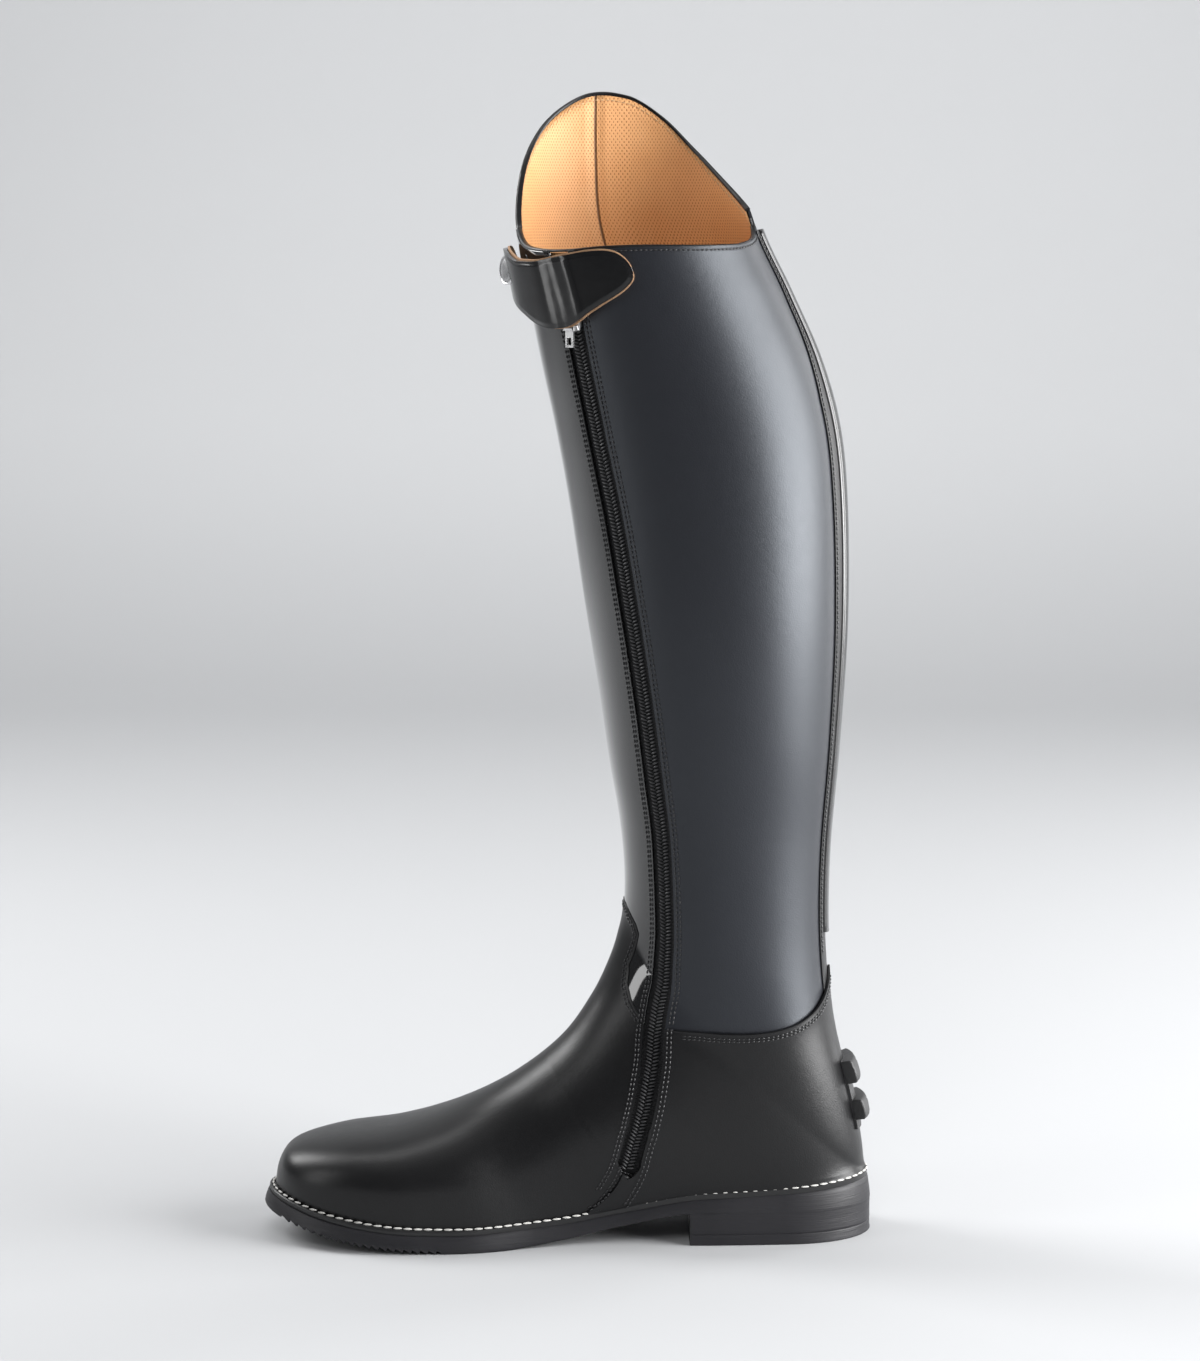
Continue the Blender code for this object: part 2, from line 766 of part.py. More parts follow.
def loft_sole(name, stations, finish):
    """Solid through stations of four corners: inner top, inner bottom, outer bottom, outer top."""
    made = bmesh.new()
    rings = [[made.verts.new(corner) for corner in station] for station in stations]
    for first, second in zip(rings, rings[1:]):
        for index in range(4):
            after = (index + 1) % 4
            made.faces.new((first[index], first[after], second[after], second[index]))
    made.faces.new(rings[0])
    made.faces.new(rings[-1][::-1])
    bmesh.ops.remove_doubles(made, verts=made.verts, dist=WELD)
    bmesh.ops.dissolve_degenerate(made, edges=made.edges, dist=WELD)
    return add_object(name, made, finish, sharp=25.0)


def feather_at(along):
    """Feather place of the sole's outer outline at a length."""
    share = min(max((along - HEEL_BACK) / SOLE_LENGTH, 0.0), 1.0)
    return math.acos(1 - 2 * share) / math.pi


def make_outsole(rubber):
    """Rubber outsole with its arch, toe spring and a sawtooth tread under the forefoot."""
    tread_start = HEEL_BACK + TREAD_START * SOLE_LENGTH
    teeth = int((TREAD_END - TREAD_START) * SOLE_LENGTH / TREAD_PITCH)
    cuts = {}
    for tooth in range(teeth):
        start = tread_start + tooth * TREAD_PITCH
        cuts[feather_at(start)] = 0.0
        cuts[feather_at(start + 0.8 * TREAD_PITCH)] = TREAD_DEPTH
    tread_end = tread_start + teeth * TREAD_PITCH
    for step in range(SOLE_STEPS + 1):
        feather = step / SOLE_STEPS
        along = sole_plan(feather)[0]
        if along < tread_start - TREAD_PITCH / 2 or along > tread_end - TREAD_PITCH / 4:
            cuts[feather] = 0.0
    stations = []
    for feather in sorted(cuts):
        bottom = sole_plan(feather)
        top = sole_plan(feather, SOLE_FLARE)
        low = underside(bottom[0]) + cuts[feather]
        high = welt_top(top[0]) - WELT_THICKNESS - GAP
        stations.append(((top[0], top[1], high), (bottom[0], bottom[1], low),
                         (bottom[0], bottom[2], low), (top[0], top[2], high)))
    return loft_sole("outsole", stations, rubber)


def make_insole(leather):
    """Insole board that closes the upper underneath."""
    inset = UPPER_INSET + 2.4 * WALL + GAP
    stations = []
    for step in range(SOLE_STEPS + 1):
        along, inner, outer = sole_plan(step / SOLE_STEPS, inset)
        low = welt_top(along) + GAP
        high = low + INSOLE_THICKNESS
        stations.append(((along, inner, high), (along, inner, low),
                         (along, outer, low), (along, outer, high)))
    return loft_sole("insole", stations, leather)


def make_welt(leather):
    """Strip round the edge of the sole, on which the upper stands."""
    loop = []
    back = []
    for step in range(SOLE_STEPS + 1):
        along, inner, outer = sole_plan(step / SOLE_STEPS, SOLE_FLARE)
        loop.append(Vector((along, inner)))
        if 0 < step < SOLE_STEPS:
            back.append(Vector((along, outer)))
    loop += back[::-1]
    made = bmesh.new()
    rings = []
    for index, corner in enumerate(loop):
        ahead = loop[(index + 1) % len(loop)] - loop[index - 1]
        inward = Vector((ahead.y, -ahead.x)).normalized()
        edge = corner + inward * WELT_BREADTH
        ring = []
        for place, drop in ((corner, 0.0), (corner, WELT_THICKNESS),
                            (edge, WELT_THICKNESS), (edge, 0.0)):
            ring.append(made.verts.new((place.x, place.y, welt_top(place.x) - drop)))
        rings.append(ring)
    for index, first in enumerate(rings):
        second = rings[(index + 1) % len(rings)]
        for corner in range(4):
            after = (corner + 1) % 4
            made.faces.new((first[corner], first[after], second[after], second[corner]))
    return add_object("welt", made, leather, sharp=25.0)


def make_heel_piece(name, low, high, low_inset, high_inset, finish):
    """Layer of the heel between two heights, rounded at the back and straight at the breast."""
    end = feather_at(HEEL_BREAST)
    made = bmesh.new()
    rings = []
    for height, inset in ((low, low_inset), (high, high_inset)):
        inner_side = []
        outer_side = []
        for step in range(HEEL_STEPS + 1):
            along, inner, outer = sole_plan(end * step / HEEL_STEPS, inset)
            along = min(along, HEEL_BREAST)
            inner_side.append((along, inner, height))
            outer_side.append((along, outer, height))
        corners = inner_side + outer_side[:0:-1]
        rings.append([made.verts.new(corner) for corner in corners])
    first, second = rings
    for index in range(len(first)):
        after = (index + 1) % len(first)
        made.faces.new((first[index], first[after], second[after], second[index]))
    made.faces.new(first[::-1])
    made.faces.new(second)
    return add_object(name, made, finish, sharp=25.0)


def notch_cutter(name, width, depth):
    """Wedge across the back of the collar, cut to a width at the rim and a depth below it."""
    rim = collar_height(1.0)
    made = bmesh.new()
    back = upper_point(row_at_height(rim), 1.0).x
    outline = ((-width / 2, rim), (0.0, rim - depth), (width / 2, rim),
               (width / 2, rim + depth), (-width / 2, rim + depth))
    rings = []
    for along in (back + width, back - width):
        rings.append([made.verts.new((along, across, height)) for across, height in outline])
    for index in range(len(outline)):
        after = (index + 1) % len(outline)
        made.faces.new((rings[0][index], rings[0][after], rings[1][after], rings[1][index]))
    made.faces.new(rings[0][::-1])
    made.faces.new(rings[1])
    return add_object(name, made, None)


def make_gusset(elastic):
    """Elastic let into the notch at the back of the collar."""
    rim = collar_height(1.0)
    inner = WALL * 0.75
    outer = WALL * 0.2
    made = bmesh.new()
    for side in (1, -1):
        grid = []
        for share in (0.15, 0.4, 0.64, 0.88):
            height = rim - GUSSET_DEPTH * (1 - share)
            row = row_at_height(height)
            reach = max(GUSSET_WIDTH / 2 * share, 1.4 * GUSSET_CLEARANCE) - GUSSET_CLEARANCE
            grid.append([(row, side * (1 - around_for(row, reach)), -inner, -outer),
                         (row, side * 1.0, -inner, -outer)])
        add_sheet(made, grid)
    return finish_sheet("elastic_gusset", made, elastic)


def around_for(row, across):
    """Share around, counted from the back, at which the upper is a distance off its middle."""
    low = 0.0
    high = 0.3
    for _ in range(BISECTIONS):
        middle = (low + high) / 2
        if upper_point(row, 1 - middle).y < across:
            low = middle
        else:
            high = middle
    return (low + high) / 2


def make_slider(metal, place, frame):
    """Zip slider, closed at the top of the zip, with two ears and the pin of its pull."""
    point, across, out, down = zip_frames(place, place + TURN, 1)[0]
    made = bmesh.new()
    low = -SLIDER_SINK
    high = low + SLIDER_THICKNESS
    shoulder = high - 0.15 * SLIDER_THICKNESS
    stations = ((0.0, 0.8), (0.19, 1.0), (0.9, 1.0), (1.0, 0.8))
    rings = []
    for place_up, share in stations:
        half = share * (ZIP_SLOT / 2 - 2 * GAP)
        run = SLIDER_NOSE - place_up * SLIDER_LENGTH
        ring = []
        for side, lift in ((-half, low), (half, low), (half, shoulder),
                           (half * 0.8, high), (-half * 0.8, high), (-half, shoulder)):
            ring.append(made.verts.new(point + down * run + across * side + out * lift))
        rings.append(ring)
    for first, second in zip(rings, rings[1:]):
        for index in range(6):
            after = (index + 1) % 6
            made.faces.new((first[index], first[after], second[after], second[index]))
    made.faces.new(rings[0])
    made.faces.new(rings[-1][::-1])
    slider = add_object("zip_slider", made, metal)
    ear_inside = PULL_WIDTH / 2 + GAP
    ear_high = PIN_RADIUS + GAP
    ear_low = (low + high) / 2 - HINGE_LIFT
    for side in (1, -1):
        ear = bmesh.new()
        bmesh.ops.create_cube(ear, size=1.0)
        for corner in ear.verts:
            corner.co.x = side * (ear_inside + EAR_THICKNESS / 2) + corner.co.x * EAR_THICKNESS
            corner.co.y = ear_high if corner.co.y > 0 else ear_low
            corner.co.z = corner.co.z * EAR_BREADTH
        bmesh.ops.transform(ear, matrix=frame, verts=ear.verts)
        boolean(slider, add_object("ear_guide_%d" % side, ear, None), "UNION")
    pin = bmesh.new()
    bmesh.ops.create_cone(pin, cap_ends=True, segments=10, radius1=PIN_RADIUS,
                          radius2=PIN_RADIUS, depth=2 * ear_inside + EAR_THICKNESS)
    bmesh.ops.rotate(pin, verts=pin.verts, matrix=Matrix.Rotation(math.pi / 2, 3, "Y"))
    bmesh.ops.transform(pin, matrix=frame, verts=pin.verts)
    boolean(slider, add_object("pin_guide", pin, None), "UNION")
    return slider


def make_pull(metal, frame):
    """Pull tab: a plate with a window, hung on the slider's pin by an eye."""
    made = bmesh.new()
    bmesh.ops.create_cube(made, size=1.0)
    top = -EYE_RADIUS * 0.8
    for corner in made.verts:
        corner.co.x *= PULL_WIDTH
        corner.co.y *= PULL_THICKNESS
        corner.co.z = top if corner.co.z > 0 else -PULL_LENGTH
    pull = add_object("zip_pull", made, metal)
    eye = bmesh.new()
    bmesh.ops.create_cone(eye, cap_ends=True, segments=14, radius1=EYE_RADIUS,
                          radius2=EYE_RADIUS, depth=PULL_WIDTH)
    bmesh.ops.rotate(eye, verts=eye.verts, matrix=Matrix.Rotation(math.pi / 2, 3, "Y"))
    eye_guide = add_object("eye_guide", eye, None)
    boolean(pull, eye_guide, "UNION")
    bore = bmesh.new()
    bmesh.ops.create_cone(bore, cap_ends=True, segments=12, radius1=PIN_RADIUS + GAP,
                          radius2=PIN_RADIUS + GAP, depth=2 * PULL_WIDTH)
    bmesh.ops.rotate(bore, verts=bore.verts, matrix=Matrix.Rotation(math.pi / 2, 3, "Y"))
    bore_guide = add_object("bore_guide", bore, None)
    boolean(pull, bore_guide)
    window = bmesh.new()
    bmesh.ops.create_cube(window, size=1.0)
    for corner in window.verts:
        corner.co.x *= PULL_WIDTH - 2 * PULL_BORDER
        corner.co.y *= 4 * PULL_THICKNESS
        low = PULL_BORDER - PULL_LENGTH
        corner.co.z = low + WINDOW_LENGTH if corner.co.z > 0 else low
    window_guide = add_object("window_guide", window, None)
    boolean(pull, window_guide)
    for item in (pull, eye_guide, bore_guide, window_guide):
        item.matrix_world = frame
    return pull


clear_scene()
calf = material("calf_leather", (0.020, 0.021, 0.025), 0.42)
patent = material("patent_leather", (0.008, 0.008, 0.009), 0.10)
tan = material("tan_leather", (0.62, 0.26, 0.09), 0.60)
rubber = material("black_rubber", (0.016, 0.016, 0.017), 0.55)
metal = material("silver_metal", (0.72, 0.72, 0.72), 0.28, 1.0)
tape = material("zip_tape", (0.012, 0.012, 0.013), 0.80)

zip_end = len(ZIP_LINE) - 1.0
slot = ribbon("zip_slot_guide", zip_frames(0.0, zip_end, RIBBON_STEPS),
              box_profile(ZIP_SLOT / 2, -WALL - 2 * CUT_DEPTH, 3 * CUT_DEPTH), None)
upper = make_upper(calf)
boolean(upper, slot)
boolean(upper, notch_cutter("notch_guide", GUSSET_WIDTH, GUSSET_DEPTH))
make_vamp(calf, slot)
make_counter(calf, slot)

hinge_height = SHAFT_HEIGHT * strap_value(1, ZIP_LINE[0][1]) - HINGE_DROP
tape_low = GAP - WALL
tape_top = zip_place(TAPE_TOP * SHAFT_HEIGHT)
ribbon("zip_tape", zip_frames(tape_top, zip_end - TAPE_STOP, RIBBON_STEPS),
       box_profile(ZIP_SLOT / 2 - GAP, tape_low, tape_low + TAPE_THICKNESS), tape)
chain_low = tape_low + TAPE_THICKNESS + GAP
chain_high = chain_low + CHAIN_THICKNESS
chain_shoulder = chain_high - 0.35 * CHAIN_THICKNESS
half = CHAIN_WIDTH / 2
chain_profile = [(-half, chain_low), (half, chain_low), (half, chain_shoulder),
                 (half / 2, chain_high), (-half / 2, chain_high), (-half, chain_shoulder)]
chain_top = zip_place(hinge_height - SLIDER_NOSE - 2 * GAP)
ribbon("zip_chain", zip_frames(chain_top, zip_end - CHAIN_STOP, RIBBON_STEPS), chain_profile, tape)

place = zip_place(hinge_height)
hinge_point, _, hinge_out, _ = zip_frames(place, place + TURN, 1)[0]
plumb = Vector((0.0, 0.0, -1.0))
level = Vector((hinge_out.x, hinge_out.y, 0.0)).normalized()
frame = frame_matrix(hinge_point + hinge_out * HINGE_LIFT, plumb.cross(level), level, plumb)
make_slider(metal, place, frame)
make_pull(metal, frame)

make_spine(patent)
make_gusset(tape)
make_strap(patent)
make_snap(metal)
make_spur_rest(rubber)

make_outsole(rubber)
make_welt(rubber)
make_insole(tan)
make_heel_piece("heel", TOP_LIFT + GAP, underside(HEEL_BREAST) - GAP, HEEL_TAPER, GAP, rubber)
make_heel_piece("heel_lift", 0.0, TOP_LIFT, 0.6 * HEEL_TAPER, 0.4 * HEEL_TAPER, rubber)
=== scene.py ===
import math

import bmesh
import bpy
import numpy as np
from mathutils import Matrix, Vector
from mathutils.bvhtree import BVHTree


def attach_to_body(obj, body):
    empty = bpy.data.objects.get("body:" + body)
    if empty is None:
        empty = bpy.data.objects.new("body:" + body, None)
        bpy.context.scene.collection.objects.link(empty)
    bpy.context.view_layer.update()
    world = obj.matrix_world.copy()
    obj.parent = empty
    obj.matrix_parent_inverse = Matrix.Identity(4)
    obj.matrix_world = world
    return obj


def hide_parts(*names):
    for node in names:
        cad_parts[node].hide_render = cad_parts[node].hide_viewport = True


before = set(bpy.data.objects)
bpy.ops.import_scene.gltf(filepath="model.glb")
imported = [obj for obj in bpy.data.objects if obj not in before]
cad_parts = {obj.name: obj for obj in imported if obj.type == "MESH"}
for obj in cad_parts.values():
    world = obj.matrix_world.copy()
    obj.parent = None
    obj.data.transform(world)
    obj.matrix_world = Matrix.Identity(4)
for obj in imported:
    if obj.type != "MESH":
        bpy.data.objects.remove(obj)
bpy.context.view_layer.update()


# Insole
# A board covered in tan leather, glued in over the sole. It closes the upper underneath and is
# seen only from above, down the shaft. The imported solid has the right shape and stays.
class Tone:
    """A value in a material's nodes, which reads as a number in sums."""

    def __init__(self, finish, socket):
        self.finish = finish
        self.socket = socket

    def __add__(self, other):
        return self.finish.sum("ADD", self, other)

    def __sub__(self, other):
        return self.finish.sum("SUBTRACT", self, other)

    def __rsub__(self, other):
        return self.finish.sum("SUBTRACT", other, self)

    def __mul__(self, other):
        return self.finish.sum("MULTIPLY", self, other)

    __radd__ = __add__
    __rmul__ = __mul__


class Finish:
    """A material and the nodes that make it."""

    def __init__(self, name, **fixed):
        self.made = bpy.data.materials.new(name)
        self.made.use_nodes = True
        self.tree = self.made.node_tree
        self.shader = self.tree.nodes["Principled BSDF"]
        for socket, value in fixed.items():
            self.shader.inputs[socket.replace("_", " ")].default_value = value

    def node(self, kind, settings=(), inputs=(), stops=(), out=0):
        made = self.tree.nodes.new(kind)
        for name, value in dict(settings).items():
            setattr(made, name, value)
        for index, (place, colour) in enumerate(stops):
            points = made.color_ramp.elements
            point = points[index] if index < 2 else points.new(place)
            point.position = place
            point.color = (*colour, 1.0)
        for name, value in dict(inputs).items():
            self.join(made.inputs[name], value)
        return Tone(self, made.outputs[out])

    def join(self, socket, value):
        if isinstance(value, Tone):
            self.tree.links.new(value.socket, socket)
        else:
            socket.default_value = value

    def sum(self, operation, first, second):
        return self.node("ShaderNodeMath", {"operation": operation}, {0: first, 1: second})

    def between(self, value, low, high):
        """0 below low, 1 above high and a soft step between them."""
        return self.node("ShaderNodeMapRange", {"interpolation_type": "SMOOTHSTEP"},
                         {"Value": value, "From Min": low, "From Max": high})

    def mix(self, share, first, second):
        first, second = ((*colour, 1.0) if isinstance(colour, tuple) else colour
                         for colour in (first, second))
        return self.node("ShaderNodeMix", {"data_type": "RGBA"},
                         {0: share, 6: first, 7: second}, out=2)

    def place(self):
        return self.node("ShaderNodeTexCoord", out="Object")

    def part(self, vector, index):
        return self.node("ShaderNodeSeparateXYZ", inputs={"Vector": vector}, out=index)

    def noise(self, scale, detail=2.0, where=None):
        return self.node("ShaderNodeTexNoise", (), {"Vector": where or self.place(),
                                                    "Scale": scale, "Detail": detail})

    def cells(self, scale, feature="F1", where=None):
        return self.node("ShaderNodeTexVoronoi", {"feature": feature},
                         {"Vector": where or self.place(), "Scale": scale})

    def bands(self, scale, **values):
        return self.node("ShaderNodeTexWave", {"wave_type": "BANDS", "bands_direction": "Z"},
                         {"Vector": self.place(), "Scale": scale, **values})

    def attribute(self, name):
        return self.node("ShaderNodeAttribute", {"attribute_name": name}, out="Fac")

    def paint(self, **values):
        for socket, value in values.items():
            self.join(self.shader.inputs[socket.replace("_", " ")], value)

    def relief(self, height, depth):
        """Relief whose height of 1 stands that many metres high."""
        bump = self.node("ShaderNodeBump", inputs={"Height": height, "Distance": depth})
        self.join(self.shader.inputs["Normal"], bump)


def flecked(name, scale, detail, dark, light, depth=0.0, gloss=None, **fixed):
    """Finish flecked between two colours, with that relief, and with gloss a roughness that goes
    from the first value up by the second."""
    finish = Finish(name, **fixed)
    fleck = finish.noise(scale, detail)
    finish.paint(Base_Color=finish.mix(fleck, dark, light))
    if gloss:
        finish.paint(Roughness=gloss[0] + gloss[1] * fleck)
    if depth:
        finish.relief(fleck, depth)
    return finish


insole_leather = flecked("insole_leather", 900.0, 3.0, (0.42, 0.19, 0.075), (0.56, 0.27, 0.11),
                         0.0001, Roughness=0.55)
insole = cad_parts["insole"]
insole.data.materials.clear()
insole.data.materials.append(insole_leather.made)


# Outsole
# One moulded black rubber sole from the heel to the toe, arched at the waist, with a sawtooth
# edge under the forefoot. Its side leans in towards the welt and shows fine brush lines.
SOLE_LENGTH = 0.2755
BALL_WIDTH = 0.097
HEEL_LENGTH = 0.083
HEEL_HEIGHT = 0.0144
SOLE_THICKNESS = 0.0077
WELT_THICKNESS = 0.0026
SEAT_RISE = 0.0178
TOE_SPRING = 0.014
TOE_SWING = 0.004
OUTLINE_START = 0.15
OUTLINE_END = 0.75
OUTLINE = ((0.320, 0.320), (0.336, 0.342), (0.335, 0.360), (0.338, 0.396), (0.385, 0.460),
           (0.470, 0.510), (0.490, 0.505))
WELT_TOP = (1.0, 0.88, 0.785, 0.695, 0.415, 0.14, 0.022, 0.0, 0.084, 0.32, 0.725)
UNDERSIDE = (1.0, 1.0, 1.0, 1.0, 0.66, 0.24, 0.0, 0.0, 0.14, 0.44, 0.97)
HEEL_BACK = -HEEL_LENGTH / 2
HEEL_BREAST = HEEL_LENGTH / 2
TOE_TIP = HEEL_BACK + SOLE_LENGTH
TREAD_START = 0.70
TREAD_END = 0.975
TREAD_PITCH = 0.0037
TREAD_DEPTH = 0.0016
TREAD_UP = 0.40
BREAST_SHARP = 0.15
SMALLEST = 1e-5
# Side of the sole from its underside to the welt: how far it is drawn in, and its height share
SOLE_SIDE = ((0.0010, 0.00), (0.0003, 0.05), (0.0001, 0.16), (0.0006, 0.45), (0.0014, 0.78),
             (0.0019, 0.94), (0.0027, 1.00))


def curve(rows, place):
    """Smooth curve through evenly spaced rows, at places counted from 0."""
    rows = np.asarray(rows, float)
    last = len(rows) - 1
    place = np.clip(np.asarray(place, float), 0, last)
    first = np.minimum(place.astype(int), last - 1)
    part = place - first
    if rows.ndim > 1:
        part = part[..., None]
    ends = np.concatenate([2 * rows[:1] - rows[1:2], rows, 2 * rows[-1:] - rows[-2:-1]])
    earlier, before, after, later = (ends[first + step] for step in range(4))
    cubic = 3 * (before - after) + later - earlier
    square = 2 * earlier - 5 * before + 4 * after - later
    return before + 0.5 * part * (after - earlier + part * (square + part * cubic))


def sole_edge(feather, inset):
    """Length, inner and outer half width of the sole's outline, drawn in by inset."""
    share = (1 - np.cos(np.pi * feather)) / 2
    back = HEEL_BACK + 0.65 * inset
    along = back + share * (TOE_TIP - inset - back)
    middle = (np.clip(share, OUTLINE_START, OUTLINE_END) - OUTLINE_START)
    halves = curve(OUTLINE, middle / (OUTLINE_END - OUTLINE_START) * (len(OUTLINE) - 1))
    heel = 1 - np.minimum(share / OUTLINE_START, 1)
    toe = np.maximum((share - OUTLINE_END) / (1 - OUTLINE_END), 0)
    ends = np.sqrt(np.maximum(0, (1 - heel ** 2) * (1 - toe ** 2)))
    width = ends * (BALL_WIDTH - 1.8 * inset)
    swing = TOE_SWING * np.maximum(0, (share - 0.55) / 0.45) ** 2
    return along, swing + halves[..., 0] * width, swing - halves[..., 1] * width


def welt_top(along):
    share = (along - HEEL_BACK) / SOLE_LENGTH
    return SOLE_THICKNESS + WELT_THICKNESS + SEAT_RISE * curve(WELT_TOP, 10 * share)


def underside(along):
    share = (along - HEEL_BACK) / SOLE_LENGTH
    level = np.where(share > 0.65, TOE_SPRING, HEEL_HEIGHT)
    return np.maximum(0.0, level * curve(UNDERSIDE, 10 * share))


def feather_at(along):
    return np.arccos(1 - 2 * np.clip((along - HEEL_BACK) / SOLE_LENGTH, 0, 1)) / np.pi


def laid(across, along, place):
    """Grid of so many faces across and along, laid where place puts its u and v."""
    bm = bmesh.new()
    bmesh.ops.create_grid(bm, x_segments=across, y_segments=along, size=0.5)
    flat = np.array([corner.co for corner in bm.verts])
    for corner, point in zip(bm.verts, place(flat[:, 0] + 0.5, flat[:, 1] + 0.5)):
        corner.co = point
    return bm


def on_ring(shape, share):
    """Columns of a closed outline's table at shares of the way round it."""
    return np.array(shape)[np.rint(share * len(shape)).astype(int) % len(shape)].T


def shaped(name, bm, finish, closed=True):
    """Object of a bmesh with its finish, its faces turned outward where it is closed."""
    bmesh.ops.remove_doubles(bm, verts=bm.verts, dist=SMALLEST)
    if closed:
        bmesh.ops.dissolve_degenerate(bm, edges=bm.edges, dist=1e-6)
        bmesh.ops.recalc_face_normals(bm, faces=bm.faces)
    mesh = bpy.data.meshes.new(name)
    bm.to_mesh(mesh)
    bm.free()
    mesh.shade_smooth()
    mesh.set_sharp_from_angle(angle=math.radians(40))
    made = bpy.data.objects.new(name, mesh)
    bpy.context.scene.collection.objects.link(made)
    mesh.materials.append(finish.made)
    return made


def attach(piece, node=None):
    """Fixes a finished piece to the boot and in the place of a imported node."""
    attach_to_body(piece, "boot")
    if node:
        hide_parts(node)


teeth = int((TREAD_END - TREAD_START) * SOLE_LENGTH / TREAD_PITCH)
tread_start = HEEL_BACK + TREAD_START * SOLE_LENGTH
tread = [(feather_at(tread_start + tooth * TREAD_PITCH), 0.0) for tooth in range(teeth)]
tread += [(feather_at(tread_start + (tooth + 0.8) * TREAD_PITCH), TREAD_DEPTH)
          for tooth in range(teeth)]
tread_end = tread_start + teeth * TREAD_PITCH
for step in range(121):
    beside = sole_edge(step / 120, 0.0)[0]
    if beside < tread_start - 0.5 * TREAD_PITCH or beside > tread_end - 0.1 * TREAD_PITCH:
        tread.append((step / 120, 0.0))
tread = np.array(sorted(tread))


def sole_place(u, v):
    sides = np.array(SOLE_SIDE)
    count = 2 * len(sides)
    turn = np.rint(u * count).astype(int) % count
    outer = turn >= len(sides)
    inset, share = sides[np.where(outer, count - 1 - turn, turn)].T
    feather, cut = tread[np.rint(v * (len(tread) - 1)).astype(int)].T
    bottom = sole_edge(feather, 0.0)[0]
    under_heel = (bottom < HEEL_BREAST + 0.001) & (share < 0.1)
    inset = inset * np.where(under_heel, BREAST_SHARP, 1.0)
    along, inner_half, outer_half = sole_edge(feather, inset)
    low = underside(bottom)
    high = welt_top(along) - WELT_THICKNESS + 0.0001
    rise = low + share * (high - low) + cut * np.maximum(0, 1 - share / TREAD_UP)
    return np.stack([along, np.where(outer, outer_half, inner_half), rise], -1)


sole_rubber = Finish("sole_rubber", Specular_IOR_Level=0.35)
lines = sole_rubber.node("ShaderNodeMapping", {"vector_type": "POINT"},
                         {"Vector": sole_rubber.place(), "Scale": (60.0, 60.0, 1800.0)})
brushed = sole_rubber.noise(1.0, 3.0, lines)
scuff = sole_rubber.noise(45.0, 4.0)
blacks = sole_rubber.mix(scuff, (0.009, 0.0088, 0.0105), (0.017, 0.0165, 0.0195))
sole_rubber.paint(Base_Color=blacks, Roughness=0.38 + 0.22 * brushed)
sole_rubber.relief(brushed + 0.5 * scuff, 0.00012)
outsole = laid(2 * len(SOLE_SIDE), len(tread) - 1, sole_place)
attach(shaped("outsole_rubber", outsole, sole_rubber), "outsole")


# Heel and heel lift
# A low block of the same rubber under the seat, cut straight at the breast, on a harder lift
# that meets the ground. Both are rounded at the back with a small lip at the lift's foot.
TOP_LIFT = 0.0048
HEEL_SIDE = ((None, 0.0), (0.0005, 0.0), (0.0003, 0.0002), (0.0002, 0.0012), (0.0003, 0.0026),
             (0.0003, 0.0060), (0.0002, 0.0090), (0.0002, 0.0096), (None, 0.0096))
LIFT_SIDE = ((None, 0.0), (0.0008, 0.0), (0.0001, 0.0003), (0.0000, 0.0010), (0.0003, 0.0018),
             (0.0003, 0.0040), (0.0004, 0.0047), (0.0006, 0.0049), (None, 0.0049))


def heel_block(name, node, side, low):
    """Block under the seat with its side's insets and rises, closed over below and above."""
    end = feather_at(HEEL_BREAST)
    walk = 1 - np.cos(np.linspace(0, np.pi / 2, 29))
    loop = [(1, share * end) for share in walk] + [(-1, share * end) for share in walk[:0:-1]]

    def place(u, v):
        way, feather = on_ring(loop, u)
        rung = np.rint(v * (len(side) - 1)).astype(int)
        inset = np.array([entry[0] or 0.0 for entry in side])[rung]
        rise = np.array([entry[1] for entry in side])[rung]
        middle = np.array([entry[0] is None for entry in side])[rung]
        along, inner_half, outer_half = sole_edge(feather, inset)
        along = np.minimum(along, HEEL_BREAST - inset)
        across = np.where(way > 0, inner_half, outer_half)
        return np.stack([np.where(middle, 0.0, along), np.where(middle, 0.0, across),
                         low + rise], -1)

    block = shaped(name, laid(len(loop), len(side) - 1, place), sole_rubber)
    attach(block, node)


heel_block("heel_block", "heel", HEEL_SIDE, TOP_LIFT + 0.0002)
heel_block("heel_lift_rubber", "heel_lift", LIFT_SIDE, 0.0)


# Welt
# A strip round the whole sole on which the upper stands, sewn down with light waxed thread that
# shows as a row of long stitches just outside the upper.
WELT_SHAPE = ((0.0028, 0.0027), (0.0024, 0.0020), (0.0024, 0.0006), (0.0028, 0.0001),
              (0.0034, 0.0000), (0.0037, 0.0003), (0.0044, 0.0003), (0.0047, 0.0000),
              (0.0110, 0.0000), (0.0110, 0.0027))
WELT_STEPS = 240
WELT_PITCH = 0.0045
WELT_STITCH = (0.0040, 0.0011, 0.0010)
SEAM_INSET = 0.00405
SEAM_SHIFT = 0.0012
LOT = 30


def welt_walk(share):
    """Feather and side at a share of the way round, from the back of the heel."""
    return 1 - np.abs(1 - 2 * share), np.where(share <= 0.5, 1, -1)


def seam_shift(feather):
    """How much nearer the edge the welt's seam runs at the waist and the heel."""
    back = np.clip((0.66 - feather) / 0.16, 0, 1)
    return SEAM_SHIFT * back * back * (3 - 2 * back)


def on_welt(feather, side, inset, rise):
    along, inner_half, outer_half = sole_edge(feather, inset)
    across = np.where(side > 0, inner_half, outer_half)
    return np.stack([along, across, welt_top(along) + rise], -1)


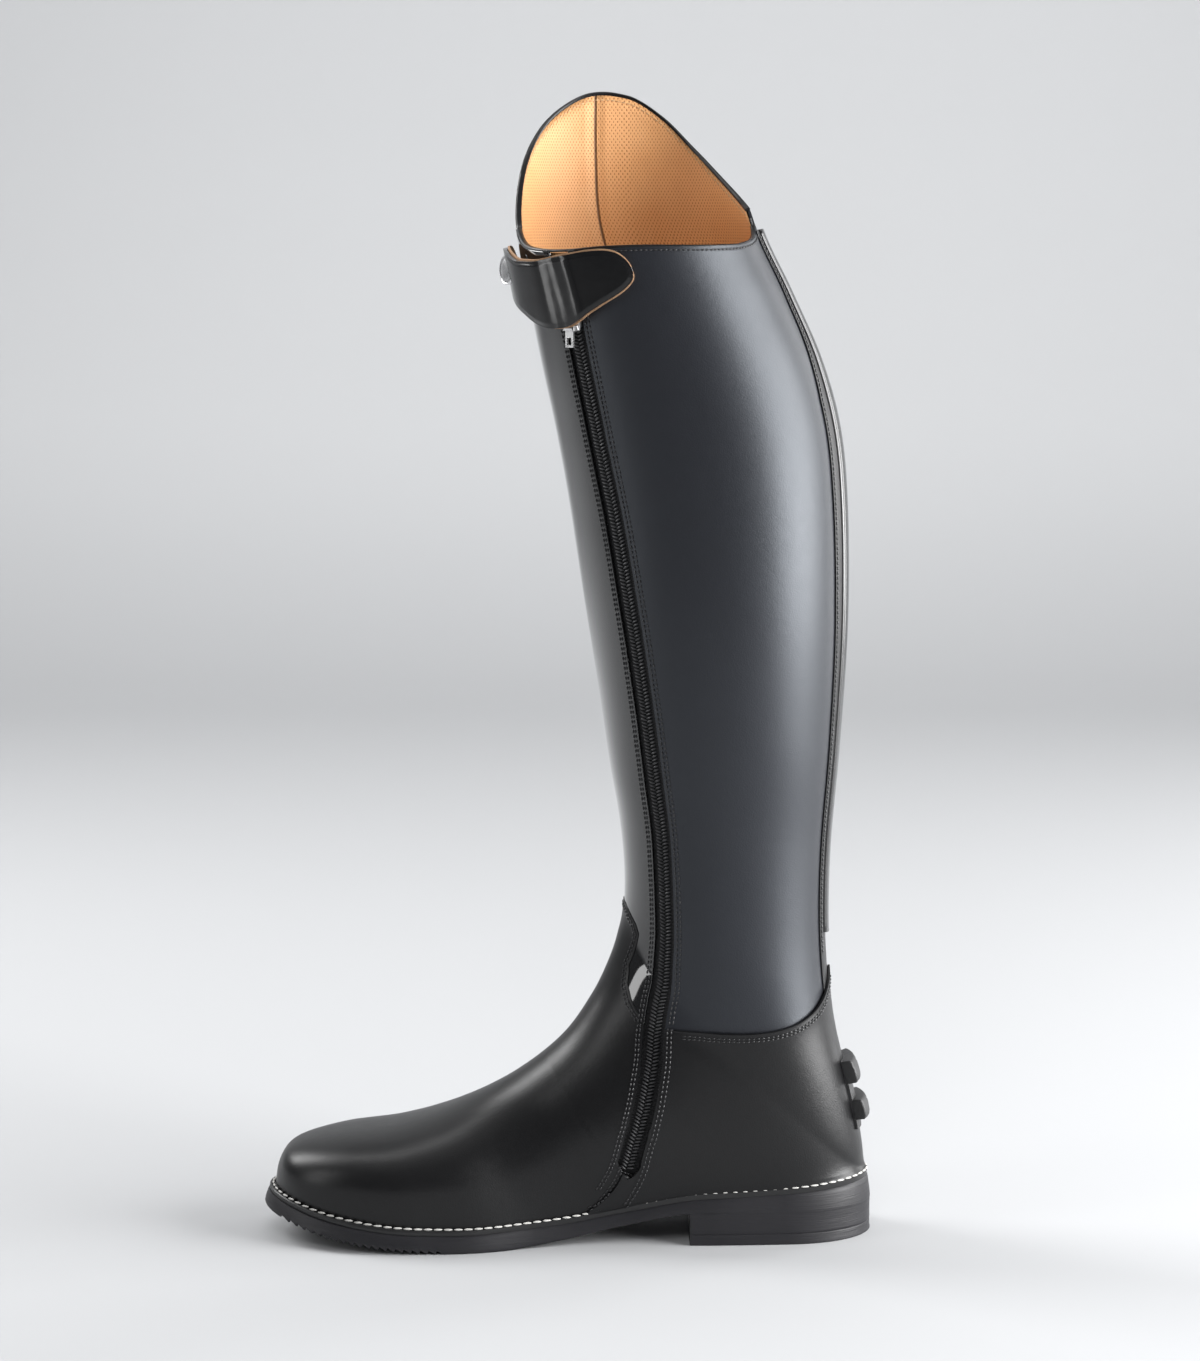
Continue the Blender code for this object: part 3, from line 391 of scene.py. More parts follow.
def welt_place(u, v):
    inset, drop = on_ring(WELT_SHAPE, u)
    feather, side = welt_walk(v)
    inset = np.where((inset > 0.003) & (inset < 0.006), inset - seam_shift(feather), inset)
    inset = np.where(drop == 0.0001, inset - 0.5 * seam_shift(feather), inset)
    return on_welt(feather, side, inset, -drop)


def gathered(name, frames, sides, finish):
    """Object of many like rounded grains, one in each frame, made in small lots."""
    whole = bmesh.new()
    for first in range(0, len(frames), LOT):
        lot = bmesh.new()
        for placed in frames[first:first + LOT]:
            bmesh.ops.create_uvsphere(lot, u_segments=sides, v_segments=sides - 1, radius=0.5,
                                      matrix=placed)
        mesh = bpy.data.meshes.new("lot")
        lot.to_mesh(mesh)
        lot.free()
        whole.from_mesh(mesh)
        bpy.data.meshes.remove(mesh)
    return shaped(name, whole, finish)


def stitched(name, points, normals, pitch, size, finish, ground=None):
    """Row of rounded stitches along points; size is their length, width and height. With a
    ground they are set down on its surface."""
    steps = np.linalg.norm(np.diff(points, axis=0), axis=1)
    run = np.concatenate([[0], np.cumsum(steps)])
    frames = []
    for place in np.arange(pitch / 2, run[-1], pitch):
        at = Vector([np.interp(place, run, points[:, axis]) for axis in range(3)])
        ahead = Vector([np.interp(place + pitch / 4, run, points[:, axis]) for axis in range(3)])
        out = Vector([np.interp(place, run, normals[:, axis]) for axis in range(3)]).normalized()
        if ground:
            near, face, _, _ = ground.find_nearest(at)
            if near is None:
                continue
            at = near
            out = face if face.dot(out) > 0 else out
        way = ahead - at
        way = (way - out * way.dot(out)).normalized()
        frame_of = Matrix((way.cross(out), out, way)).transposed().to_4x4()
        frame_of.translation = at + out * (0.15 * size[2])
        frames.append(frame_of @ Matrix.Diagonal((size[1], size[2], size[0], 1.0)))
    attach(gathered(name, frames, 6, finish))


welt_leather = flecked("welt_leather", 160.0, 3.0, (0.007, 0.007, 0.0075),
                       (0.013, 0.013, 0.0138), 0.00015, Roughness=0.42)
welt = shaped("welt_strip", laid(len(WELT_SHAPE), WELT_STEPS, welt_place), welt_leather)
attach(welt, "welt")

waxed_thread = flecked("waxed_thread", 2500.0, 2.0, (0.42, 0.41, 0.39), (0.74, 0.73, 0.70),
                       0.0001, Roughness=0.6)
welt_feather, welt_side = welt_walk(np.linspace(0.004, 0.996, 800))
welt_line = on_welt(welt_feather, welt_side, SEAM_INSET - seam_shift(welt_feather), 0.0002)
welt_up = np.tile([0.0, 0.0, 1.0], (len(welt_line), 1))
stitched("welt_stitches", welt_line, welt_up, WELT_PITCH, WELT_STITCH, waxed_thread)


# Lining
# Soft tan leather pricked all over with small dimples, glued to the inside of the foot, the leg
# and the crown, with one seam up the crown's outer side. Each dimple is painted darker brown,
# as painted shade in its hollow.
UPPER_INSET = 0.0064
INSTEP_HEIGHT = 0.104
SHAFT_HEIGHT = 0.4454
CROWN_RISE = 0.0686
CALF_DEPTH = 0.124
CALF_WIDTH = 0.104
GUSSET_DEPTH = 0.014
NOTCH_HALF = 0.045
ROUND = 0.18
LINING_START = 0.35
LINING_IN = 0.0018
LINING_SHORT = 0.045
# Sections of the foot from the toe to the heel, and of the leg from the heel to the crown, in
# shares of the sole, the calf and levels: 0 the ground, 1 the instep height, 2 the shaft height
FOOT_SECTIONS = (
    # feather, ridge_x, ridge_z, half, follow, widest, full
    (1.000, 0.8258, 0.2320, 0.000, 1.0, 0.80, 2.3),
    (0.935, 0.8185, 0.3150, 0.100, 1.0, 0.80, 2.4),
    (0.855, 0.7930, 0.3850, 0.250, 1.0, 0.72, 2.5),
    (0.760, 0.7200, 0.4320, 0.370, 1.0, 0.66, 2.5),
    (0.665, 0.6250, 0.4670, 0.420, 1.0, 0.62, 2.3),
    (0.575, 0.5290, 0.5480, 0.420, 1.0, 0.60, 2.1),
    (0.480, 0.4350, 0.6780, 0.400, 0.8, 0.58, 2.0),
    (0.375, 0.3560, 0.8450, 0.355, 0.4, 0.56, 2.0),
    (0.260, 0.3060, 1.0091, 0.330, 0.1, 0.52, 2.0),
    (0.130, 0.2770, 1.0579, 0.325, 0.0, 0.47, 2.0),
)
LEG_SECTIONS = (
    # back_x, back_z, front_x, front_z, half, widest, full
    (-0.3008, 0.2741, 0.5823, 1.0952, 0.322, 0.44, 2.00),
    (-0.2650, 0.5568, 0.5640, 1.1298, 0.335, 0.44, 2.00),
    (-0.1900, 0.8908, 0.5620, 1.1833, 0.352, 0.46, 2.00),
    (-0.1550, 1.0802, 0.5790, 1.2485, 0.365, 0.48, 2.00),
    (-0.1550, 1.2042, 0.6160, 1.3268, 0.396, 0.50, 2.05),
    (-0.1870, 1.3503, 0.6580, 1.4312, 0.452, 0.52, 2.10),
    (-0.2120, 1.5108, 0.7080, 1.5434, 0.492, 0.53, 2.10),
    (-0.2080, 1.6608, 0.7600, 1.6673, 0.502, 0.53, 2.10),
    (-0.1800, 1.7626, 0.8080, 1.7626, 0.500, 0.52, 2.10),
    (-0.1120, 1.8500, 0.8600, 1.8500, 0.494, 0.51, 2.10),
    (-0.0080, 1.9348, 0.9060, 1.9348, 0.486, 0.50, 2.15),
    (0.1080, 2.0261, 0.9510, 2.0261, 0.481, 0.50, 2.20),
    (0.1410, 2.1174, 0.9590, 2.1174, 0.481, 0.50, 2.20),
    (0.1410, 2.2087, 0.9590, 2.2087, 0.481, 0.50, 2.20),
)
COLLAR = ((0.10, 0.10), (0.00, 0.46), (-0.03, 0.71), (-0.03, 0.88), (-0.01, 0.98), (0.00, 0.96),
          (0.00, 0.82), (0.00, 0.61), (0.01, 0.42), (0.06, 0.28), (0.19, 0.19))
HEEL_ROW = len(FOOT_SECTIONS)
FLAT_ROW = HEEL_ROW + 8
LAST_ROW = HEEL_ROW + len(LEG_SECTIONS) - 1


def level_height(level):
    if level < 1:
        return level * INSTEP_HEIGHT
    return INSTEP_HEIGHT + (level - 1) * (SHAFT_HEIGHT - INSTEP_HEIGHT)


sections = []
for feather, ridge_x, ridge_z, half, follow, widest, full in FOOT_SECTIONS:
    along = float(sole_edge(feather, UPPER_INSET)[0])
    sections.append([ridge_x * SOLE_LENGTH, level_height(ridge_z), feather, along,
                     float(welt_top(along)), half * CALF_WIDTH, follow, widest, full])
for back_x, back_z, front_x, front_z, half, widest, full in LEG_SECTIONS:
    sections.append([front_x * CALF_DEPTH, level_height(front_z), 0.0, back_x * CALF_DEPTH,
                     level_height(back_z), half * CALF_WIDTH, 0.0, widest, full])
heel_along = float(sole_edge(0.0, UPPER_INSET)[0])
sections[HEEL_ROW][3:5] = heel_along, float(welt_top(heel_along))
sections[0][0:2] = sections[0][3:5]
sections = np.array(sections)


def skin(row, around):
    """Points of the boot's outer face. Row counts the sections; around runs from 0 at the front
    to 1 on the inner and -1 on the outer side, and goes on past 1 round the back of the leg."""
    row = np.asarray(row, float)
    around = np.asarray(around, float)
    around = np.where(around > 1, around - 2, np.where(around < -1, around + 2, around))
    (front_x, front_z, feather, back_x, back_z, half, follow, widest,
     full) = np.moveaxis(curve(sections, row), -1, 0)
    side = np.where(around >= 0, 1.0, -1.0)
    along, inner_edge, outer_edge = sole_edge(np.clip(feather, 0, 1), UPPER_INSET)
    foot = row < HEEL_ROW
    centre = np.where(foot, TOE_SWING * np.maximum(0, 1 - row / 4), 0.0)
    edge = np.where(foot, np.abs(np.where(side > 0, inner_edge, outer_edge) - centre), 0.0)
    back_x = np.where(foot, along, back_x)
    back_z = np.where(foot, welt_top(along), back_z)
    spread = follow * edge * 1.03 + (1 - follow) * np.maximum(half, edge)
    half = np.where(foot, spread, half)
    length = np.maximum(np.hypot(back_x - front_x, back_z - front_z), 1e-9)
    depth = widest * length
    inset = np.maximum(half - edge, 1e-6)
    arc = np.arccos(np.minimum(1.0, edge / np.maximum(half, 1e-9)))
    arc = np.maximum(arc, 0.02)
    over = np.hypot(depth, half)
    turn = over / (over + np.hypot(length - depth, inset))
    place = np.abs(around)
    top = np.minimum(place / turn, 1.0) * np.pi / 2
    low = np.clip((place - turn) / (1 - turn), 0, 1) * arc
    reach = np.where(place <= turn, half * np.sin(top) ** (2 / full),
                     half - inset * (1 - np.cos(low)) / (1 - np.cos(arc)))
    down = np.where(place <= turn, depth * (1 - np.maximum(0, np.cos(top)) ** (2 / full)),
                    depth + (length - depth) * np.sin(low) / np.sin(arc))
    share = down / length
    return np.stack([front_x + (back_x - front_x) * share, centre + side * reach,
                     front_z + (back_z - front_z) * share], -1)


def outward(row, around):
    """Directions out of the boot's outer face."""
    row = np.clip(np.asarray(row, float), 0.06, LAST_ROW - 0.06)
    around = np.asarray(around, float)
    limit = np.where(row < HEEL_ROW, 1.0, 9.0)
    across = (skin(row, np.minimum(around + 0.01, limit))
              - skin(row, np.maximum(around - 0.01, -limit)))
    up = skin(row + 0.05, around) - skin(row - 0.05, around)
    out = np.cross(across, up)
    out[..., 2] *= np.where((row < HEEL_ROW) & (np.abs(around) > 0.995), 0.0, 1.0)
    return out / np.maximum(np.linalg.norm(out, axis=-1, keepdims=True), 1e-12)


flat_rows = np.linspace(FLAT_ROW, LAST_ROW, 200)
flat_heights = curve(sections, flat_rows)[:, 1]


def rim_height(around):
    """Height of the collar's edge, with the notch for the elastic at the back."""
    around = np.where(np.asarray(around, float) > 1, np.asarray(around, float) - 2, around)
    rises = curve(COLLAR, 10 * np.abs(around))
    rise = np.where(around >= 0, rises[..., 0], rises[..., 1])
    notch = np.maximum(0, 1 - (1 - np.abs(around)) / NOTCH_HALF)
    return SHAFT_HEIGHT + CROWN_RISE * rise - GUSSET_DEPTH * notch


def row_at(height):
    """Row of the upper leg, whose sections lie flat, at a height."""
    return np.interp(height, flat_heights, flat_rows)


def rim_row(around):
    return row_at(rim_height(around))


def thickened(made, thick):
    solid = made.modifiers.new("thickness", "SOLIDIFY")
    solid.thickness = thick
    solid.offset = -1.0


def round_edges(made, width, segments, degrees):
    edge = made.modifiers.new("rounded edge", "BEVEL")
    edge.width = width
    edge.segments = segments
    edge.limit_method = "ANGLE"
    edge.angle_limit = math.radians(degrees)
    edge.harden_normals = True


def leather(name, across, along, wheres, thick, finish, rounded=0.0004, eased=0):
    """Sheet of leather laid on the boot. Each of wheres lays one grid: it gives the row, the
    around and the lift of its face off the boot's for every u and v. Edges are rounded."""
    bm = bmesh.new()
    near = bm.verts.layers.float.new("edge")
    seam = bm.loops.layers.uv.new("lay")
    for where in wheres:
        made = bmesh.ops.create_grid(bm, x_segments=across, y_segments=along, size=0.5)["verts"]
        flat = np.array([corner.co for corner in made])
        row, around, lift = where(flat[:, 0] + 0.5, flat[:, 1] + 0.5)
        out = outward(row, around)
        points = skin(row, around) + out * (np.zeros(len(row)) + lift)[:, None]
        feather = (row < HEEL_ROW) & (np.abs(around) > 0.999)
        points[:, 2] = np.where(feather, welt_top(points[:, 0]) + 0.0001, points[:, 2])
        lay = {corner: (ROUND * turn, point[2])
               for corner, point, turn in zip(made, points, around)}
        for corner, point in zip(made, points):
            corner.co = point
        faces = list({face for corner in made for face in corner.link_faces})
        for face in faces:
            for loop in face.loops:
                loop[seam].uv = lay[loop.vert]
        middle = made[len(made) // 2]
        middle.normal_update()
        if middle.normal.dot(Vector(out[len(made) // 2])) < 0:
            bmesh.ops.reverse_faces(bm, faces=faces)
    bmesh.ops.remove_doubles(bm, verts=bm.verts, dist=SMALLEST)
    for _ in range(eased):
        bmesh.ops.smooth_vert(bm, verts=[corner for corner in bm.verts if not corner.is_boundary],
                              factor=0.5, use_axis_x=True, use_axis_y=True, use_axis_z=True)
    margin = np.array([corner.co for corner in bm.verts if corner.is_boundary])
    for corner in bm.verts:
        corner[near] = 1000 * float(np.min(np.linalg.norm(margin - np.array(corner.co), axis=1)))
    made = shaped(name, bm, finish, closed=False)
    thickened(made, thick)
    if rounded:
        round_edges(made, rounded, 2, 50)
    return made


def lining_where(u, v):
    around = 2 * u - 1
    row = LINING_START + v * (rim_row(around) - LINING_SHORT - LINING_START)
    return row, around, -LINING_IN + 0.0006 * np.clip(row - 20.4, 0, 1)


LINING_SEAM = -0.41
PRICK_WIDE = 0.0019
PRICK_HIGH = 0.0026
lining_leather = Finish("lining_leather", Roughness=0.62)
lay = lining_leather.node("ShaderNodeUVMap", {"uv_map": "lay"})
turned = lining_leather.part(lay, 0)
risen = lining_leather.part(lay, 1)
prick = (lining_leather.sum("SINE", turned * (math.tau / PRICK_WIDE), 0.0)
         * lining_leather.sum("SINE", risen * (math.tau / PRICK_HIGH), 0.0))
shaded_dimple = lining_leather.between(prick, 0.30, 0.85)
off_seam = lining_leather.sum("ABSOLUTE", turned - ROUND * LINING_SEAM, 0.0)
joint = 1 - lining_leather.between(off_seam, 0.0002, 0.0011)
fold_in = 1 - lining_leather.between(off_seam, 0.0005, 0.0060)
cloud = lining_leather.noise(38.0, 4.0)
tan = lining_leather.mix(cloud, (0.66, 0.315, 0.115), (0.81, 0.445, 0.20))
# Painted shade: the dimples are painted a darker brown, standing in for the shade in their
# hollows.
tan = lining_leather.mix(shaded_dimple * 0.80, tan, (0.36, 0.125, 0.032))
lining_leather.paint(Base_Color=lining_leather.mix(joint * 0.9, tan, (0.10, 0.045, 0.02)))
lining_leather.relief(0.35 * (1 - shaded_dimple) + 0.9 * cloud - 1.0 * fold_in - 0.8 * joint, 0.0009)
lining = leather("lining", 120, 130, [lining_where], 0.0004, lining_leather, rounded=0.0)
attach(lining)


# Zip
# A black nylon coil zip down the inner side, on woven tape sewn behind the slot. Each side has
# its own row of coils, and they mesh from the slider down to the heel.
ZIP_SLOT = 0.0098
COIL_PITCH = 0.0016
COIL_APART = 0.0015
COIL_SIZE = (0.0033, 0.0016, 0.00095)
COIL_SLANT = 0.38
TAPE_WIDTH = 0.0124
TAPE_IN = 0.00115
TAPE_TOP = 0.441
COIL_TOP = 0.4085
COIL_STOP = 2.12
COURSE_STEPS = 400
ZIP_LINE = (
    # section, around
    (21.60, 0.270), (20.30, 0.268), (19.10, 0.255), (17.76, 0.251), (16.48, 0.268),
    (15.51, 0.282), (14.38, 0.295), (13.55, 0.298), (12.75, 0.286), (11.75, 0.271),
    (10.71, 0.256), (9.85, 0.262), (9.20, 0.284), (8.60, 0.330), (8.11, 0.396),
    (7.60, 0.485), (7.07, 0.616), (6.61, 0.800), (6.22, 0.955),
)
zip_steps = np.linspace(0, len(ZIP_LINE) - 1, COURSE_STEPS)
course = curve(ZIP_LINE, zip_steps)
course_points = skin(course[:, 0], course[:, 1])
course_out = outward(course[:, 0], course[:, 1])
course_down = np.gradient(course_points, axis=0)
course_down /= np.linalg.norm(course_down, axis=1, keepdims=True)
course_back = np.cross(course_out, course_down)
course_gaps = np.linalg.norm(np.diff(course_points, axis=0), axis=1)
course_run = np.concatenate([[0], np.cumsum(course_gaps)])


def on_zip(run, back, out):
    """Points down the zip at lengths run, moved back and out."""
    def at(values):
        return np.stack([np.interp(run, course_run, values[:, axis]) for axis in range(3)], -1)
    return (at(course_points) + at(course_back) * np.reshape(back, (-1, 1))
            + at(course_out) * np.reshape(out, (-1, 1)))


def beside_zip(row, back):
    """Share around, at a row, of the line that runs beside the zip's middle."""
    rows, arounds = course.T
    up = (skin(rows + 0.02, arounds) - skin(rows - 0.02, arounds)) / 0.04
    side = (skin(rows, arounds + 0.004) - skin(rows, arounds - 0.004)) / 0.008
    target = course_back * back
    up_up, up_side, side_side = (np.sum(one * other, 1)
                                 for one, other in ((up, up), (up, side), (side, side)))
    to_up, to_side = np.sum(target * up, 1), np.sum(target * side, 1)
    spread = up_up * side_side - up_side * up_side
    rows = rows + (to_up * side_side - to_side * up_side) / spread
    arounds = arounds + (up_up * to_side - up_side * to_up) / spread
    order = np.argsort(rows)
    return np.interp(row, rows[order], arounds[order])


tape_start, coil_start = np.interp([-TAPE_TOP, -COIL_TOP], -course_points[:, 2], course_run)
coil_end = np.interp(len(ZIP_LINE) - COIL_STOP, zip_steps, course_run)


def tape_place(u, v):
    return on_zip(tape_start + v * (course_run[-1] - tape_start), (u - 0.5) * TAPE_WIDTH, -TAPE_IN)


zip_fabric = Finish("zip_fabric", Roughness=0.8)
weft = zip_fabric.bands(420.0, Distortion=1.2, Detail=2.0, **{"Detail Scale": 4.0})
fuzz = zip_fabric.noise(1800.0)
zip_fabric.paint(Base_Color=zip_fabric.mix(fuzz, (0.007, 0.007, 0.008), (0.020, 0.020, 0.021)))
zip_fabric.relief(weft + 0.5 * fuzz, 0.0002)
zip_tape = shaped("zip_woven_tape", laid(8, 260, tape_place), zip_fabric, closed=False)
if zip_tape.data.polygons[40].normal.y < 0:
    zip_tape.data.flip_normals()
thickened(zip_tape, 0.0006)
attach(zip_tape, "zip_tape")

coil_nylon = flecked("coil_nylon", 1500.0, 2.0, (0.030, 0.030, 0.031), (0.055, 0.055, 0.058),
                     gloss=(0.24, 0.14), Roughness=0.3)
coils = []
for turn, run in enumerate(np.arange(coil_start, coil_end, COIL_PITCH / 2)):
    side = 1 if turn % 2 else -1
    middle, ahead, raised, beside = (Vector(point) for point in on_zip(
        np.array([run, run + 0.001, run, run]), np.array([0, 0, 0, 0.001]) + side * COIL_APART,
        np.array([-0.0003, -0.0003, 0.0007, -0.0003])))
    axes = Matrix(((beside - middle).normalized(), (raised - middle).normalized(),
                   (ahead - middle).normalized())).transposed().to_4x4()
    axes.translation = middle
    tilt = Matrix.Rotation(side * COIL_SLANT, 4, "Y")
    coils.append(axes @ tilt @ Matrix.Diagonal((*COIL_SIZE, 1.0)))
attach(gathered("zip_coil", coils, 8, coil_nylon), "zip_chain")


# Patent front
# Patent calf over the shin, from under the vamp up to the collar. It ends at the zip on the
# inner side and runs under the quarter on the outer side, sewn there with two rows.
EDGE_OF_SLOT = ZIP_SLOT / 2
SEAM_UNDER = 0.03
PATENT_START = 8.3
RIM_SHORT = 0.02


def outer_seam(row):
    """Share around of the seam on the outer side, which mirrors the zip's line."""
    return np.interp(row, *course[np.argsort(course[:, 0])].T)


def patent_where(u, v):
    around = -0.3 + 0.55 * u
    for _ in range(4):
        row = PATENT_START + v * (rim_row(around) - RIM_SHORT - PATENT_START)
        inner = beside_zip(row, -EDGE_OF_SLOT)
        outer = -outer_seam(row) - SEAM_UNDER
        around = outer + u * (inner - outer)
    return row, around, 0.0


patent = Finish("patent_leather", Roughness=0.07, Coat_Weight=1.0, Coat_Roughness=0.02)
wave = patent.noise(16.0, 1.0)
pores = patent.noise(500.0, 2.0)
patent.paint(Base_Color=patent.mix(wave, (0.0045, 0.0045, 0.005), (0.0065, 0.0065, 0.007)))
patent.relief(wave + 0.002 * pores, 0.0006)
patent_front = leather("patent_front", 56, 170, [patent_where], 0.0011, patent)
attach(patent_front)


# Quarter
# One piece of smooth calf from the back of the zip round the calf to the seam on the outer side,
# with the crown in one with it. Its lower edge lies under the counter.
COUNTER_TOP = (
    # around, height
    (0.300, 0.0990), (0.400, 0.0978), (0.500, 0.0976), (0.600, 0.0986), (0.700, 0.1010),
    (0.790, 0.1052), (0.870, 0.1108), (0.940, 0.1170), (1.000, 0.1215),
)
QUARTER_LIFT = 0.0004
low_rows = np.linspace(HEEL_ROW - 4.5, FLAT_ROW, 400)


def level_row(height, around):
    """Rows of the lower boot at which its face reaches each height, at each place around."""
    return np.array([np.interp(at, skin(low_rows, turn + 0 * low_rows)[:, 2], low_rows)
                     for at, turn in zip(height, around)])


top_arounds = np.linspace(0.30, 1.0, 90)
top_heights = np.interp(top_arounds, *np.array(COUNTER_TOP).T)
for _ in range(12):
    top_heights[1:-1] = (top_heights[:-2] + 2 * top_heights[1:-1] + top_heights[2:]) / 4
top_rows = level_row(top_heights, top_arounds)


def quarter_where(u, v):
    row = 9.0 + 13.0 * v
    around = 0.3 + 1.4 * u
    for _ in range(24):
        inner = beside_zip(row, EDGE_OF_SLOT)
        around = (around + inner + u * (2 - outer_seam(row) - inner)) / 2
        beside = np.where(around > 1, 2 - around, around)
        low = (np.interp(beside, top_arounds, top_rows) - 0.35
               - 0.7 * np.maximum(0, 1 - (beside - 0.30) / 0.16))
        row = (row + low + v * (rim_row(around) - RIM_SHORT - low)) / 2
    return row, around, QUARTER_LIFT


def smooth_calf(name, dark, light, rough, shine):
    """Smooth box calf: fine pores, faint creases and a soft satin face."""
    finish = Finish(name, Roughness=rough, Specular_IOR_Level=shine)
    broad = finish.noise(22.0, 3.0)
    pores = finish.cells(1500.0)
    creases = finish.noise(260.0, 4.0)
    finish.paint(Base_Color=finish.mix(broad, dark, light),
                 Roughness=rough - 0.04 + 0.08 * creases)
    pulled = finish.between(finish.attribute("edge"), 0.2, 2.6)
    finish.relief(0.16 * pores + 0.3 * creases + 1.2 * pulled, 0.00016)
    return finish


quarter_calf = smooth_calf("quarter_calf", (0.0115, 0.0120, 0.0150), (0.0150, 0.0157, 0.0195),
                           0.40, 0.5)
quarter_calf.shader.inputs["Specular Tint"].default_value = (0.87, 0.93, 1.0, 1.0)
quarter = leather("quarter", 120, 130, [quarter_where], 0.0012, quarter_calf)
attach(quarter, "upper")


# Vamp
# Fine-grained black calf over the toes and the instep, up to a point at the throat. It ends at
# the zip on the inner side and is sewn over the counter below it and on the outer side.
VAMP_EDGE = ((6.00, 1.000), (6.15, 0.975), (6.50, 0.845), (7.00, 0.640), (7.50, 0.508),
             (8.00, 0.415), (8.50, 0.335), (8.75, 0.225), (9.00, 0.180), (9.50, 0.150),
             (9.90, 0.150), (10.40, 0.154), (10.80, 0.158), (11.00, 0.138), (11.20, 0.070),
             (11.28, 0.004))
VAMP_LIFT = 0.0014
ZIP_FOOT = 6.63
vamp_rows, vamp_arounds = np.array(VAMP_EDGE).T


def vamp_edge(row):
    return np.interp(row, vamp_rows, vamp_arounds)


def vamp_where(u, v):
    row = vamp_rows[-1] * v
    slot = np.where(row > ZIP_FOOT, beside_zip(row, -EDGE_OF_SLOT), 1.0)
    inner, outer = np.minimum(vamp_edge(row), slot), -vamp_edge(row)
    return row, outer + u * (inner - outer), VAMP_LIFT


foot_calf = smooth_calf("foot_calf", (0.0045, 0.0045, 0.0050), (0.0068, 0.0068, 0.0074),
                        0.35, 0.34)
vamp = leather("vamp_calf", 60, 190, [vamp_where], 0.0012, foot_calf)
attach(vamp, "vamp")


# Counter
# The same calf round the heel, with a top line that dips behind the zip and climbs to a peak on
# the back seam. It is moulded over a stiffener and sewn down with two rows.
COUNTER_START = 6.0
COUNTER_UNDER = 0.012
COUNTER_LIFT = 0.0015


def counter_side(inner):
    """One side of the counter, from the back seam forward to the zip or under the vamp."""
    def where(u, v):
        around = 0.4 + 0.6 * u
        for _ in range(16):
            top = np.interp(around, top_arounds, top_rows)
            row = COUNTER_START + v * (top - COUNTER_START)
            edge = vamp_edge(row) - COUNTER_UNDER
            if inner:
                edge = np.where(row > ZIP_FOOT, beside_zip(row, EDGE_OF_SLOT), edge)
            edge = np.clip(edge, 0.30, 1.0)
            around = (around + edge + u * (1 - edge)) / 2
        around = np.where(u > 0.999, 1.0, around)
        return row, around if inner else -around, COUNTER_LIFT
    return where


counter = leather("counter_calf", 44, 120, [counter_side(True), counter_side(False)], 0.0010,
                  foot_calf, eased=80)
attach(counter, "counter")


# Back stay
# A band of calf over the back seam with a glossy rolled strip down its middle, from the collar
# to the counter's peak. Its edges are sewn to the quarter.
STAY_EDGE = ((13.10, 0.112), (14.00, 0.110), (15.00, 0.116), (16.20, 0.132), (17.30, 0.136),
             (18.40, 0.130), (19.50, 0.095), (20.40, 0.080))
STAY_TOP = 20.9
stay_rows, stay_halves = np.array(STAY_EDGE).T


def stay_where(width, low, high, lift, roll):
    """Strip of the stay's width between two rows, rolled up in its middle by roll."""
    def where(u, v):
        row = low + v * (high - low)
        half = np.interp(row, stay_rows, stay_halves) * width
        across = 2 * u - 1
        return row, 1 + across * half, lift + roll * np.sqrt(np.maximum(0, 1 - across ** 2))
    return where


stay_gloss = flecked("stay_gloss", 60.0, 3.0, (0.0045, 0.0045, 0.005), (0.0080, 0.0080, 0.0086),
                     0.0002, (0.18, 0.14), Coat_Weight=0.4, Coat_Roughness=0.12)
stay_band = leather("stay_band", 16, 110, [stay_where(1.0, 12.4, STAY_TOP, 0.0012, 0.0)], 0.0008,
                    foot_calf)
stay_roll = leather("stay_roll", 14, 110, [stay_where(0.62, 13.15, STAY_TOP, 0.0014, 0.0016)],
                    0.0010, stay_gloss, rounded=0.0)
attach(stay_band)
attach(stay_roll, "back_stay")


# Seams
# Black bonded thread, two rows along most edges: both sides of the zip, round the vamp's throat,
# along the counter's top, down the outer seam, the back stay and one row under the collar.
STITCH = (0.0017, 0.00080, 0.00085)
STITCH_PITCH = 0.0022
ZIP_SEAMS = (-0.0063, -0.0077, 0.0067, 0.0085)
TACK_SEAMS = (0.0, 0.0011)
TACK_AT = -26  # step of the zip's course where its tack lies
TWO_ROWS = (0.0018, 0.0031)
STAY_SEAM_IN = 0.0016
COLLAR_SEAM_DOWN = 0.0021
black_thread = flecked("black_thread", 2200.0, 2.0, (0.009, 0.009, 0.010), (0.034, 0.034, 0.036),
                       0.0001, Roughness=0.35)


def grounds(*pieces):
    """Surface of finished pieces, to set stitches down on."""
    ready = bpy.context.evaluated_depsgraph_get()
    joined = bmesh.new()
    for part in pieces:
        joined.from_mesh(part.evaluated_get(ready).to_mesh())
    tree = BVHTree.FromBMesh(joined)
    joined.free()
    return tree


def seam(name, rows, arounds, shift, ground, lift=0.002):
    """Row of stitches beside a line on the boot, moved sideways by shift."""
    points = skin(rows, arounds)
    out = outward(rows, arounds)
    way = np.gradient(points, axis=0)
    way /= np.maximum(np.linalg.norm(way, axis=1, keepdims=True), 1e-9)
    points = points + np.cross(out, way) * shift + out * lift
    stitched(name, points, out, STITCH_PITCH, STITCH, black_thread, ground)


